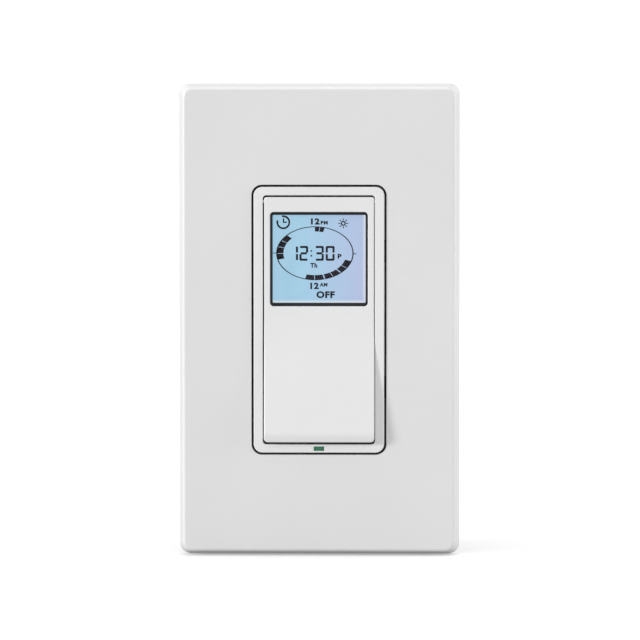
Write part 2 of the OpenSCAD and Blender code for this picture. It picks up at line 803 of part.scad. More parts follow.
module front_housing() {
    color("black") face_on() difference() {
        union() {
            slab(housing_w, housing_h, housing_corner, -flange_t, 0);
            slab(tub_w, tub_h, pad_corner, board_front, keypad_top);
        }
        block(tub_w - 2 * tub_wall, tub_h - 2 * tub_wall, board_front - beyond, keypad_bottom);
        translate([0, window_y, 0])
            block(holder_w + 2 * display_fit, holder_h + 2 * display_fit,
                  board_front - beyond, keypad_top + beyond);
        for (column = [-1, 1], y = [upper_key_y, lower_key_y])
            translate([column * key_pitch_x / 2, y, 0])
                rod(key_r + key_fit, keypad_bottom - beyond, keypad_top + beyond);
        translate([0, plunger_y, 0])
            rod(plunger_r + plunger_pass, keypad_bottom - beyond, keypad_top + beyond);
        translate([0, light_y, 0])
            block(light_w + 2 * pass_gap, light_h + 2 * pass_gap, -flange_t - beyond, beyond);
        translate([0, 0, -flange_t - beyond]) linear_extrude(flange_t + 2 * beyond) hook_slots();
        four(column_x, column_y) rod(housing_screw_r + screw_gap, -flange_t - beyond, beyond);
    }
}

module display_holder() {
    color("black") face_on() translate([0, window_y, 0]) difference() {
        block(holder_w, holder_h, board_front, display_front);
        block(lens_w + 2 * display_fit, lens_h + 2 * display_fit,
              board_front - beyond, display_front + beyond);
    }
}

module display_lens() {
    color("aliceblue", 0.4) face_on() translate([0, window_y, 0])
        block(lens_w, lens_h, lens_back, display_front);
}

module lcd_panel() {
    color("lightsteelblue") face_on() translate([0, window_y, 0])
        block(lens_w, lens_h, lcd_back, lens_back);
}

module backlight_panel() {
    color("azure") face_on() translate([0, window_y, 0])
        block(lens_w, backlight_h, board_front, lcd_back);
}

module display_connectors() {
    color("dimgray") face_on() translate([0, window_y, 0])
        above_and_below(lens_h - strip_t - 2 * display_fit)
            block(strip_len, strip_t, board_front, lcd_back);
}

// One key, drawn round its own middle
module key_button() {
    rod(key_r, flange_bottom, keypad_top + key_proud);
    rod(key_r + key_flange, flange_bottom, flange_bottom + key_flange_t);
    rod(key_post_r, stem_top, flange_bottom + eps);
}

module switch_stem() {
    rod(stem_r, stem_top - stem_proud - stem_depth, stem_top);
}

// Places a piece at a key: column -1 is left and 1 is right
module at_key(column, y) {
    face_on() translate([column * key_pitch_x / 2, y, 0]) children();
}

module up_button() { color("lightgray") at_key(1, upper_key_y) key_button(); }
module down_button() { color("lightgray") at_key(1, lower_key_y) key_button(); }
module enter_button() { color("lightgray") at_key(-1, upper_key_y) key_button(); }
module back_button() { color("lightgray") at_key(-1, lower_key_y) key_button(); }
module up_switch_stem() { color("dimgray") at_key(1, upper_key_y) switch_stem(); }
module down_switch_stem() { color("dimgray") at_key(1, lower_key_y) switch_stem(); }
module enter_switch_stem() { color("dimgray") at_key(-1, upper_key_y) switch_stem(); }
module back_switch_stem() { color("dimgray") at_key(-1, lower_key_y) switch_stem(); }

module switch_bases() {
    top = board_front + switch_h;
    color("black") for (column = [-1, 1], y = [upper_key_y, lower_key_y])
        at_key(column, y) difference() {
            block(switch_w, switch_w, board_front, top);
            rod(stem_r + stem_fit, top - stem_depth - stem_room, top + beyond);
        }
}

module load_plunger() {
    color("white") face_on() translate([0, plunger_y, 0]) {
        rod(plunger_r, dome_top + plunger_gap, boss_end + plunger_grip);
        rod(plunger_r + plunger_flange, boss_end - plunger_flange_t, boss_end);
    }
}

module load_dome() {
    color("lightgray") face_on() translate([0, plunger_y, board_front]) {
        cylinder(r = dome_r, h = dome_foot);
        cylinder(r1 = dome_r - dome_foot, r2 = plunger_r, h = dome_h);
    }
}

// Board outline, cut away round the four screw columns
module board_outline() {
    difference() {
        square([board_w, board_h], center = true);
        four(column_x, column_y) square(2 * notch, center = true);
        four(column_x + notch, column_y + notch) square(2 * notch, center = true);
    }
}

module control_board() {
    color("darkgreen") face_on() translate([0, 0, board_back])
        linear_extrude(board_t) board_outline();
}

module status_led() {
    color("honeydew") face_on() translate([0, light_y, 0])
        block(led_w, light_h, board_front, board_front + led_h);
}

module control_chips() {
    color("black") face_on() translate([0, lower_key_y, 0]) {
        block(chip_w, chip_w, board_back - chip_h, board_back);
        translate([chip_pitch, 0, 0])
            block(memory_w, memory_w, board_back - chip_h, board_back);
        translate([-chip_pitch, -crystal_len / 2, board_back - crystal_d / 2])
            rotate([-90, 0, 0]) cylinder(d = crystal_d, h = crystal_len);
    }
}

module backup_capacitor() {
    color("slategray") face_on() translate([0, window_y, board_back]) rotate([180, 0, 0]) {
        cylinder(r = backup_r, h = backup_h - backup_step);
        cylinder(r = backup_r - backup_step, h = backup_h);
    }
}

module board_header() {
    color("black") face_on() translate([0, board_h / 2 - header_drop, 0])
        block(header_len, header_w, power_front, board_back);
}

// Repeats a piece at the four terminals, turned so that +x points out of the housing's side
module at_terminals() {
    for (side = [0, 180], y = [-terminal_rise, terminal_rise])
        translate([0, y, 0]) rotate([0, 0, side]) children();
}

module power_board() {
    color("darkgreen") face_on() difference() {
        translate([0, 0, power_back]) linear_extrude(board_t) board_outline();
        at_terminals() leg_slot();
    }
}

// Slot that a terminal plate's leg passes through
module leg_slot() {
    translate([pocket_floor + terminal_t / 2, 0, 0])
        block(terminal_t + 2 * leg_gap, leg_w + 2 * leg_gap,
              pocket_front - beyond, power_front + beyond);
}

module load_relay() {
    color("darkslateblue") face_on() {
        block(relay_w, relay_l, power_back - relay_h, power_back - relay_lip);
        block(relay_w - 2 * relay_lip, relay_l - 2 * relay_lip, power_back - relay_h, power_back);
    }
}

module dropper_capacitor() {
    color("goldenrod") face_on() translate([0, part_y, 0])
        slab(film_l, film_w, film_corner, power_back - film_h, power_back);
}

module smoothing_capacitor() {
    groove_from = 3 * can_groove;
    groove_to = 5 * can_groove;
    color("midnightblue") face_on()
        translate([part_pitch / 2, -part_y, power_back]) rotate([180, 0, 0]) {
            cylinder(r = can_r, h = groove_from);
            cylinder(r = can_r - can_groove, h = can_h);
            translate([0, 0, groove_to]) cylinder(r = can_r, h = can_h - groove_to);
        }
}

module surge_varistor() {
    middle = power_back - varistor_lead_len - varistor_r;
    color("steelblue") face_on() translate([-part_pitch / 2, -part_y, 0]) {
        translate([0, varistor_t / 2, middle]) rotate([90, 0, 0])
            cylinder(r = varistor_r, h = varistor_t);
        for (s = [-1, 1])
            translate([s * varistor_r / 2, 0, 0]) rod(varistor_lead_r, middle, power_back);
    }
}

module rear_housing() {
    pocket_x = housing_w / 2 - housing_wall / 2;
    color("dimgray") face_on() difference() {
        union() {
            difference() {
                slab(housing_w, housing_h, housing_corner, housing_back, -flange_t);
                slab(housing_in_w, housing_in_h, inside_corner, housing_inside, beyond);
            }
            four(column_x, column_y) rod(column_r, housing_back + housing_wall / 2, -flange_t);
            at_terminals() translate([(pocket_floor - pocket_wall + pocket_x) / 2, 0, 0])
                block(pocket_x - pocket_floor + pocket_wall, pocket_h + 2 * pocket_wall,
                      housing_back + housing_wall / 2, power_back);
        }
        at_terminals() {
            translate([pocket_floor + pocket_in, 0, 0])
                block(2 * pocket_in, pocket_h, housing_back - beyond, pocket_front);
            leg_slot();
            translate([0, 0, terminal_z]) rotate([0, 90, 0])
                rod(terminal_screw_r + screw_gap, pocket_floor - 2 * pocket_wall, pocket_floor + beyond);
        }
        four(column_x, column_y) {
            rod(housing_screw_r + screw_gap, housing_back - beyond, 0);
            rod(housing_head_r + screw_gap, housing_back - beyond, housing_back + head_recess);
        }
    }
}

module housing_screws() {
    seat = housing_back + head_recess;
    color("silver") face_on() four(column_x, column_y) {
        translate([0, 0, seat]) rotate([180, 0, 0]) slotted_head(housing_head_r, housing_head_h);
        rod(housing_screw_r, seat - eps, strap_t - seat_gap);
    }
}

module terminal_plates() {
    color("goldenrod") face_on() at_terminals() difference() {
        translate([pocket_floor + terminal_t / 2, 0, 0]) {
            block(terminal_t, terminal_w, pocket_front - terminal_len, pocket_front);
            block(terminal_t, leg_w, pocket_front - eps, power_front + leg_proud);
        }
        translate([0, 0, terminal_z]) rotate([0, 90, 0])
            rod(terminal_screw_r + thread_fit,
                pocket_floor - beyond, pocket_floor + terminal_t + beyond);
    }
}

module terminal_clamps() {
    color("silver") face_on() at_terminals() translate([0, 0, terminal_z]) rotate([0, 90, 0])
        difference() {
            block(clamp_w, clamp_w, clamp_x, head_x);
            rod(terminal_screw_r + screw_gap / 2, clamp_x - beyond, head_x + beyond);
        }
}

// One terminal screw: side 0 is right and 180 is left, seen from the front
module terminal_screw(side, y) {
    face_on() translate([0, y, terminal_z]) rotate([0, 0, side]) rotate([0, 90, 0]) {
        translate([0, 0, head_x]) slotted_head(terminal_head_r, terminal_head_h);
        rod(terminal_screw_r, pocket_floor - terminal_screw_tail, head_x + eps);
    }
}

module line_terminal_screw() { color("black") terminal_screw(0, terminal_rise); }
module load_terminal_screw() { color("firebrick") terminal_screw(0, -terminal_rise); }
module neutral_terminal_screw() { color("silver") terminal_screw(180, terminal_rise); }
module traveler_terminal_screw() { color("goldenrod") terminal_screw(180, -terminal_rise); }

wallplate_cover();
wallplate_subplate();
subplate_screws();
mounting_strap();
box_screws();
screw_retainers();
ground_screw();
bezel_frame();
status_light_pipe();
push_pad();
pad_hinge_pin();
front_housing();
display_holder();
display_lens();
lcd_panel();
backlight_panel();
display_connectors();
up_button();
down_button();
enter_button();
back_button();
up_switch_stem();
down_switch_stem();
enter_switch_stem();
back_switch_stem();
switch_bases();
load_plunger();
load_dome();
control_board();
status_led();
control_chips();
backup_capacitor();
board_header();
power_board();
load_relay();
dropper_capacitor();
smoothing_capacitor();
surge_varistor();
rear_housing();
housing_screws();
terminal_plates();
terminal_clamps();
line_terminal_screw();
load_terminal_screw();
neutral_terminal_screw();
traveler_terminal_screw();
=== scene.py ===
"""The timer light switch, dressed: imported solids, the pieces modelled over them, finishes, light and camera.

Sizes are millimetres until MM turns them into metres. A place is given as seen from the room: x to the right,
up, and out of the wall.
"""

import json
import math

import bmesh
import bpy
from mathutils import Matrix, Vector

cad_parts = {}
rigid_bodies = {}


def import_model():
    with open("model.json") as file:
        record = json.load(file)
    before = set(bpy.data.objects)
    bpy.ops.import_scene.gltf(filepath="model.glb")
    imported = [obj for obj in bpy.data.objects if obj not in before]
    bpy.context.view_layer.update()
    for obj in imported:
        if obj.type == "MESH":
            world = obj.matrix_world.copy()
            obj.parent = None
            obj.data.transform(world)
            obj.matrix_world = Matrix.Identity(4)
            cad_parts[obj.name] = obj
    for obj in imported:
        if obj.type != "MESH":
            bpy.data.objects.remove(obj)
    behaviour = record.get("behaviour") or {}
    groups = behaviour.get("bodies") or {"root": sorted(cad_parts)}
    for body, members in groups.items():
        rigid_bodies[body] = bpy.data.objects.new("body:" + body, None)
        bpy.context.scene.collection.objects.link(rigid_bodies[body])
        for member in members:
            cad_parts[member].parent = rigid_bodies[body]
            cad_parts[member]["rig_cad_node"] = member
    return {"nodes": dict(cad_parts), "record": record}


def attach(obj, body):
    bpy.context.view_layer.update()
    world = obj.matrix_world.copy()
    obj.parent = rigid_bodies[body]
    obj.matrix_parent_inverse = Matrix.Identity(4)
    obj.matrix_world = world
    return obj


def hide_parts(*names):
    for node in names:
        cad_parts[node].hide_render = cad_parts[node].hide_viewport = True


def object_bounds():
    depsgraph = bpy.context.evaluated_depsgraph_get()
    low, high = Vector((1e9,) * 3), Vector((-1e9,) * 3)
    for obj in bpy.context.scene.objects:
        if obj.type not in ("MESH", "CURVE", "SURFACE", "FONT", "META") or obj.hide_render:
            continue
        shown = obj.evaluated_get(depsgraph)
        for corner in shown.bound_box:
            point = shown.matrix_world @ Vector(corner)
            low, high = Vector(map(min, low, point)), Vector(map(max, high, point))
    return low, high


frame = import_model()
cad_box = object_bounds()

MM = 0.001
NODES = frame["nodes"]
RECORD = frame["record"]
BODY_OF = {node: body for body, nodes in RECORD["behaviour"]["bodies"].items() for node in nodes}
SLOT_OF = {row["node"]: row["material_slot"] for row in RECORD["subparts"]}

# How far tools reach past what they cut, joined pieces sink into what carries them, and points may be apart
PAST, SUNK = 1, 0.1
TOUCH, NEAR = 0.01, 0.1

# Plate
PLATE_W, PLATE_H, PLATE_FRONT = 70, 117.5, 6.5
PLATE_CORNER, PLATE_ROUND, PLATE_DRAFT = 2.5, 0.7, 1.15
PLATE_WALL, FACE_BACK, HOLLOW_CORNER = 2, 4.5, 0.5
OPENING_W, OPENING_H, OPENING_CORNER, OPENING_ROUND = 33.5, 67.1, 2.6, 0.12
COLLAR_WALL, COLLAR_BACK = 1.5, 3.3
NIB_THICK, NIB_LONG, NIB_BACK, NIB_FRONT = 1.8, 10, 0.5, 1.2
NIB_X, NIB_UP = 21, 32

# Bezel and its snap hooks
BEZEL_W, BEZEL_H, BEZEL_BACK, BEZEL_FRONT = 32.4, 66, 1.3, 7
BEZEL_IN_W, BEZEL_IN_H = 27.85, 61.85
BEZEL_CORNER, BEZEL_IN_CORNER = 2.15, 0.9
BEZEL_ROUND, BEZEL_IN_ROUND = 0.22, 0.2
HOOK_THICK, HOOK_LONG, HOOK_END = 1.2, 5, -2.75
HOOK_X, HOOK_UP = 15.025, 17
BARB_THICK, BARB_TALL = 1.8, 0.7

# Pad: upright down to its bend, leaning out below it, with a lip that rolls back
PAD_X, PAD_W, PAD_WALL, PAD_FOOT = 0.08, 27.4, 1.6, 1.0
PAD_TOP, PAD_BEND, PAD_BOTTOM = 30.525, -3.405, -30.325
PAD_TOP_CORNER, PAD_BOTTOM_CORNER, PAD_ROUND = 0.6, 1.0, 0.35
PAD_OUT, PAD_SLOPE = 6.9, 2.7 / 27.12
PAD_LIP, LIP_SLOPE = PAD_BOTTOM + 1.85, 0.42
BEND_SOFT, LIP_SOFT = 5.5, 0.75
PAD_HOLLOW_W, SKIRT_OUT = 25.2, 4.4
PIN_UP, PIN_OUT, PIN_BORE = 29.425, 5.8, 0.55
PIN_BORE_LONG, BARREL_R, BARREL_SHORT = 30.75, 1.0, 1.5

# Display and status light
WINDOW_W, WINDOW_H, WINDOW_UP = 24.3, 23.4, 15.095
WINDOW_CORNER, WINDOW_ROUND = 0.9, 0.2
HOLDER_W, HOLDER_H, HOLDER_ROUND = 24.5, 23.6, 0.15
LENS_W, LENS_H, LENS_ROUND, LENS_PLAY, LENS_GAP = 23.1, 21.8, 0.3, 0.1, 0.085
GLASS_CORNER = 0.2
DISPLAY_FRONT, GLASS_FRONT, GLASS_BACK = 4.35, 3.25, 1.15
LIGHT_W, LIGHT_H, LIGHT_UP, LIGHT_BACK = 2.5, 1.0, -31.9875, -1.95
LIGHT_ROUND, LIGHT_PLAY, LIGHT_COLLAR, LIGHT_COLLAR_LONG = 0.15, 0.1, 0.5, 1

# Keys and load switch
KEY_X, KEY_UPS = 6.2, (-2.995, -11.995)
KEY_R, KEY_FRONT, KEY_STEM_R, KEY_STEM_END = 2.75, 3.8, 1.2, -0.6
KEY_FLANGE_R, KEY_FLANGE = 3.35, 0.7
ICON_BACK, ICON_TALL, ICON_ROUND = 3.66, 0.11, 0.04
ARROW_R, DOT_R = 1.1, 0.8
PLUNGER_UP, PLUNGER_R, PLUNGER_TIP, PLUNGER_END = -21.995, 1.5, 0.15, 7.2
PLUNGER_COLLAR_R, PLUNGER_COLLAR, PLUNGER_SEAT = 2.5, 4.7, 5.4
BOSS_R, BOSS_BORE = 2.2, 1.55
BOARD_FRONT = -2.8

# Marks in the housing's back: a recess has its width, height, corner and depth
HOUSING_BACK = -32.4
LABEL, GAUGE, VENT = (21, 27, 1.2, 0.3), (11, 2.4, 0.6, 0.5), (15, 1.3, 0.6, 1.2)
GAUGE_UP, VENT_UPS = 30.5, (17, 20, 23, 26)
EJECTOR_X, EJECTOR_UP, EJECTOR_R, EJECTOR_DEPTH = 11.2, 21.5, 1.7, 0.15

# Solids that get their edges broken: how close points are joined, before and after, the angle that is flat,
# the angle that is an edge, and each solid's width of edge
WELD, EDGE_WELD = 0.001, 0.002
FLAT_ANGLE, EDGE_ANGLE = 0.5, 40
EDGE_WIDTHS = {
    "rear_housing": 0.25,
    "wallplate_subplate": 0.2,
    "mounting_strap": 0.12,
    "screw_retainers": 0.05,
    "ground_screw": 0.15,
    "front_housing": 0.2,
    "housing_screws": 0.12,
    "terminal_plates": 0.1,
    "terminal_clamps": 0.15,
    "line_terminal_screw": 0.12,
    "load_terminal_screw": 0.12,
    "neutral_terminal_screw": 0.12,
    "traveler_terminal_screw": 0.12,
}


def eased(past, reach):
    """A length past a turning line, blended in over a reach on either side of it."""
    if past < -reach:
        return 0
    return past if past > reach else (past + reach) ** 2 / (4 * reach)


def pad_front(up):
    """How far out the pad stands at a height: it leans out below its bend and rolls back at its lip."""
    lean = PAD_SLOPE * eased(PAD_BEND - up, BEND_SOFT)
    roll = LIP_SLOPE * eased(PAD_LIP - up, LIP_SOFT)
    return PAD_OUT + lean - roll


# Modelling


def place(x, up, out):
    return Vector((x, -out, up)) * MM


def only(piece):
    """Selects one object alone."""
    bpy.ops.object.select_all(action="DESELECT")
    piece.select_set(True)
    bpy.context.view_layer.objects.active = piece


def settled(name):
    """Names the object just added and puts its place into its mesh."""
    piece = bpy.context.object
    piece.name = piece.data.name = name
    bpy.ops.object.transform_apply(location=True, rotation=True, scale=True)
    return piece


def block(name, width, height, back, front, x=0, up=0):
    bpy.ops.object.select_all(action="DESELECT")
    bpy.ops.mesh.primitive_cube_add(size=1, location=place(x, up, (back + front) / 2))
    bpy.context.object.scale = Vector((width, front - back, height)) * MM
    return settled(name)


def bar(name, radius, length):
    """Round bar lying across the switch, where the hinge pin is."""
    bpy.ops.object.select_all(action="DESELECT")
    bpy.ops.mesh.primitive_cylinder_add(
        vertices=40, radius=radius * MM, depth=length * MM,
        location=place(0, PIN_UP, PIN_OUT), rotation=(0, math.pi / 2, 0),
    )
    return settled(name)


def disc(name, points, radius, x, up, out):
    """Flat disc or polygon that faces the room."""
    bpy.ops.object.select_all(action="DESELECT")
    bpy.ops.mesh.primitive_circle_add(
        vertices=points, radius=radius * MM, fill_type="NGON",
        location=place(x, up, out), rotation=(math.pi / 2, 0, 0),
    )
    return settled(name)


def pick(piece, kind, test):
    """Opens a piece for editing and chooses the edges or faces whose points, as (x, up, out), pass a test."""
    only(piece)
    bpy.ops.object.mode_set(mode="EDIT")
    bpy.ops.mesh.select_mode(type=kind)
    bpy.ops.mesh.select_all(action="DESELECT")
    mesh = bmesh.from_edit_mesh(piece.data)
    for part in mesh.edges if kind == "EDGE" else mesh.faces:
        if test([Vector((v.co.x, v.co.z, -v.co.y)) / MM for v in part.verts]):
            part.select_set(True)
    bmesh.update_edit_mesh(piece.data)


def done():
    bpy.ops.object.mode_set(mode="OBJECT")


def turn_outwards():
    """Points all faces of the piece being edited outwards and ends the edit."""
    bpy.ops.mesh.select_all(action="SELECT")
    bpy.ops.mesh.normals_make_consistent(inside=False)
    done()


def everything(points):
    """Test that chooses all edges or faces."""
    return True


def runs_out(points):
    """Test for edges that run straight out of the wall."""
    return all((q.xy - points[0].xy).length < TOUCH for q in points)


def at_depth(out, width=PLATE_W, height=PLATE_H, up=0):
    """Test for edges or faces that lie at one depth, inside or on a rectangle."""

    def test(points):
        level = all(abs(q.z - out) < TOUCH for q in points)
        in_width = all(abs(q.x) < width / 2 + NEAR for q in points)
        return level and in_width and all(abs(q.y - up) < height / 2 + NEAR for q in points)

    return test


def round_off(piece, radius, steps, test):
    pick(piece, "EDGE", test)
    bpy.ops.mesh.bevel(offset=radius * MM, segments=steps, profile=0.5, affect="EDGES")
    done()


def slab(name, width, height, corner, back, front, x=0, up=0, steps=8):
    """Block with its four corners rounded."""
    piece = block(name, width, height, back, front, x, up)
    round_off(piece, corner, steps, runs_out)
    return piece


def merge(piece, tool, operation):
    change = piece.modifiers.new("change", "BOOLEAN")
    change.operation = operation
    change.object = tool
    only(piece)
    bpy.ops.object.modifier_apply(modifier="change")
    bpy.data.objects.remove(tool, do_unlink=True)


def cut(piece, tool):
    merge(piece, tool, "DIFFERENCE")


def add(piece, tool):
    merge(piece, tool, "UNION")


def turned(name, steps, x=0, up=0, points=48):
    """Round piece pulled out of a disc. Steps are (radius, out), from the back to the front."""
    radius, out = steps[0]
    piece = disc(name, points, radius, x, up, out)
    pick(piece, "FACE", everything)
    for next_radius, next_out in steps[1:]:
        bpy.ops.mesh.extrude_region_move(TRANSFORM_OT_translate={"value": place(0, 0, next_out - out)})
        ratio = next_radius / radius
        bpy.ops.transform.resize(value=(ratio, 1, ratio), center_override=place(x, up, next_out))
        radius, out = next_radius, next_out
    turn_outwards()
    return piece


def smooth(piece, angle=35):
    only(piece)
    bpy.ops.object.shade_smooth_by_angle(angle=math.radians(angle))
    even = piece.modifiers.new("even", "WEIGHTED_NORMAL")
    even.keep_sharp = True
    bpy.ops.object.modifier_apply(modifier="even")
    return piece


def stands_for(piece, node, finish):
    """Lets a finished piece take a solid's place."""
    piece.data.materials.clear()
    piece.data.materials.append(finish)
    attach(piece, BODY_OF[node])
    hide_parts(node)


def twin(piece, name, x, up, turn=0):
    """Copy of a piece modelled in the middle, moved to its place and turned clockwise, seen from the room."""
    copy = piece.copy()
    copy.data = piece.data.copy()
    bpy.context.scene.collection.objects.link(copy)
    copy.location = place(x, up, 0)
    copy.rotation_euler = (0, math.radians(turn), 0)
    only(copy)
    return settled(name)


def together(name, pieces):
    only(pieces[0])
    for piece in pieces:
        piece.select_set(True)
    bpy.ops.object.join()
    return settled(name)


def softened(node, width, hollows):
    """Stands a copy of a solid in its place, with its sharp edges broken and hollows sunk into it."""
    piece = NODES[node].copy()
    piece.data = NODES[node].data.copy()
    piece.name = piece.data.name = node + "_finished"
    del piece["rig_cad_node"]
    bpy.context.scene.collection.objects.link(piece)
    pick(piece, "FACE", everything)
    bpy.ops.mesh.remove_doubles(threshold=WELD * MM)
    bpy.ops.mesh.dissolve_limited(angle_limit=math.radians(FLAT_ANGLE))
    done()
    bevel = piece.modifiers.new("soften", "BEVEL")
    bevel.width = width * MM
    bevel.segments = 2
    bevel.limit_method = "ANGLE"
    bevel.angle_limit = math.radians(EDGE_ANGLE)
    bpy.ops.object.modifier_apply(modifier="soften")
    pick(piece, "FACE", everything)
    bpy.ops.mesh.remove_doubles(threshold=EDGE_WELD * MM)
    bpy.ops.mesh.dissolve_degenerate(threshold=EDGE_WELD * MM)
    done()
    for hollow in hollows:
        cut(piece, hollow)
    stands_for(smooth(piece), node, FINISHES[SLOT_OF[node]])


# Finishes


class Wire:
    """A socket of a finish, with the sums that are done on it."""

    def __init__(self, finish, socket):
        self.finish, self.socket = finish, socket

    def sum(self, operation, first, second):
        return self.finish.node("Math", {"operation": operation}, {0: first, 1: second})

    def __add__(self, other):
        return self.sum("ADD", self, other)

    def __radd__(self, other):
        return self.sum("ADD", other, self)

    def __sub__(self, other):
        return self.sum("SUBTRACT", self, other)

    def __rsub__(self, other):
        return self.sum("SUBTRACT", other, self)

    def __mul__(self, other):
        return self.sum("MULTIPLY", self, other)

    def __rmul__(self, other):
        return self.sum("MULTIPLY", other, self)

    def __pow__(self, other):
        return self.sum("POWER", self, other)

    def __gt__(self, other):
        return self.sum("GREATER_THAN", self, other)


class Finish:
    """A material: one Principled surface and the nodes that feed it."""

    def __init__(self, name, **fixed):
        self.material = bpy.data.materials.new(name)
        self.material.use_nodes = True
        self.tree = self.material.node_tree
        self.surface = self.tree.nodes["Principled BSDF"]
        for socket, value in fixed.items():
            self.feed(socket.replace("_", " "), value)
        self.place = self.node("TexCoord", {}, {}, "Object")

    def node(self, kind, settings, sockets, output=0):
        made = self.tree.nodes.new("ShaderNode" + kind)
        for key, value in settings.items():
            setattr(made, key, value)
        for key, value in sockets.items():
            self.join(made.inputs[key], value)
        return Wire(self, made.outputs[output])

    def join(self, socket, value):
        if isinstance(value, Wire):
            self.tree.links.new(value.socket, socket)
        else:
            socket.default_value = value

    def feed(self, socket, value):
        self.join(self.surface.inputs[socket], value)

    def noise(self, size, detail=2, stretch=(1, 1, 1)):
        """Cloudy pattern with patches of a size in millimetres."""
        where = self.node("Mapping", {}, {"Vector": self.place, "Scale": stretch})
        return self.node("TexNoise", {}, {"Vector": where, "Scale": 1 / (size * MM), "Detail": detail}, "Fac")

    def cells(self, size):
        """Crystal-like patches of a size in millimetres."""
        return self.node("TexVoronoi", {}, {"Vector": self.place, "Scale": 1 / (size * MM)}, "Color")

    def mix(self, share, first, second):
        settings = {"data_type": "RGBA", "clamp_factor": True}
        return self.node("Mix", settings, {0: share, 6: first, 7: second}, 2)

    def ramp(self, value, start, end, low=0.0, high=1.0):
        """A value carried from one range to another and kept inside it."""
        return self.node("MapRange", {}, {"Value": value, 1: start, 2: end, 3: low, 4: high})

    def relief(self, height, depth):
        """Bumps of a depth in millimetres."""
        bump = self.node("Bump", {}, {"Height": height, "Distance": depth * MM, "Strength": 1.0}, "Normal")
        self.feed("Normal", bump)

    def across(self, axis):
        """A coordinate in millimetres: X, Y or Z."""
        return self.node("SeparateXYZ", {}, {"Vector": self.place}, axis) * (1 / MM)


def tone(color, share=1.0):
    return tuple(min(1, c * share) for c in color) + (1,)


def moulded(name, color, rough, grain=0.35, depth=0.006, cloud=0.03):
    """Moulded plastic: faint cloudiness and a fine spark-eroded grain."""
    finish = Finish(name, IOR=1.5, Specular_IOR_Level=0.5)
    drift = finish.noise(24, 3)
    speck = finish.noise(grain, 2)
    finish.feed("Base Color", finish.mix(drift, tone(color, 1 - cloud), tone(color, 1 + cloud)))
    finish.feed("Roughness", rough + 0.12 * (speck - 0.5) + 0.08 * (drift - 0.5))
    finish.relief(speck, depth)
    return finish.material


def plated(name, color, rough, spangle=0.0, size=2.2):
    """Plated steel: a crystal bloom, rolling lines and dull patches."""
    finish = Finish(name, Metallic=1.0)
    bloom = finish.cells(size)
    lines = finish.noise(0.25, 3, (1, 1, 0.06))
    dull = finish.noise(6, 4)
    grey = finish.node("RGBToBW", {}, {"Color": bloom})
    worn = grey * spangle + dull * 0.35
    finish.feed("Base Color", finish.mix(worn, tone(color, 0.86), tone(color, 1.1)))
    finish.feed("Roughness", rough + 0.22 * (dull - 0.5) + 0.1 * (lines - 0.5))
    finish.relief(lines, 0.004)
    return finish.material


def painted(name, color, rough):
    """Coloured plating that wears through to bright metal in specks."""
    finish = Finish(name, Specular_IOR_Level=0.6)
    wear = finish.noise(0.9, 5) > 0.66
    dull = finish.noise(2.5, 3)
    finish.feed("Base Color", finish.mix(wear, tone(color), (0.55, 0.54, 0.5, 1)))
    finish.feed("Metallic", 0.35 + 0.6 * wear)
    finish.feed("Roughness", rough + 0.2 * (dull - 0.5))
    finish.relief(dull, 0.01)
    return finish.material


def lit_display():
    """Backlit liquid-crystal glass: pale blue, lavender on the right, with a painted highlight glowing along
    its right and bottom edges.
    """
    finish = Finish("display_glass", Roughness=0.35, Emission_Strength=0.92)
    x, up = finish.across("X"), finish.across("Z") - WINDOW_UP
    cloud = finish.noise(6, 2)
    side = finish.ramp(x + 5 * (cloud - 0.5), -4.0, 11.0)
    blue = finish.mix(cloud, (0.34, 0.60, 0.82, 1), (0.43, 0.70, 0.86, 1))
    field = finish.mix(side, blue, (0.47, 0.56, 0.80, 1))
    # Painted highlight: the glow turns almost white along the glass's right and bottom edges
    edge = finish.node("Math", {"operation": "MAXIMUM"}, {0: x * (2 / LENS_W), 1: up * (-2 / LENS_H)})
    rim = finish.ramp(edge, 0.93, 0.98)
    finish.feed("Emission Color", finish.mix(0.75 * rim, field, (0.82, 0.88, 0.95, 1)))
    finish.feed("Base Color", finish.mix(side, (0.05, 0.08, 0.1, 1), (0.07, 0.07, 0.1, 1)))
    return finish.material


def ink():
    """Dark display segments, with a faint sheen of colour."""
    finish = Finish("display_ink", Roughness=0.8, Specular_IOR_Level=0.05)
    cloud = finish.noise(1.6, 2)
    finish.feed("Base Color", finish.mix(cloud, (0.004, 0.005, 0.014, 1), (0.016, 0.009, 0.016, 1)))
    return finish.material


def clear_pane():
    finish = Finish("clear_lens", Base_Color=(0.12, 0.13, 0.15, 1), IOR=1.49, Specular_IOR_Level=0.6)
    haze = finish.noise(5, 4)
    finish.feed("Roughness", 0.04 + 0.06 * haze)
    finish.feed("Alpha", 0.05 + 0.03 * haze)
    return finish.material


def green_pipe():
    """Tinted light pipe, lit from behind and brightest in the middle."""
    finish = Finish("green_light", Roughness=0.25, Emission_Strength=0.12, Coat_Weight=0.4)
    glow = finish.ramp(finish.across("X") ** 2, 0.1, 1.5, 1.0, 0.4)
    cloud = finish.noise(0.6, 3)
    finish.feed("Base Color", finish.mix(cloud, (0.005, 0.075, 0.035, 1), (0.010, 0.13, 0.06, 1)))
    finish.feed("Emission Color", finish.mix(glow, (0.002, 0.07, 0.03, 1), (0.02, 0.34, 0.14, 1)))
    return finish.material


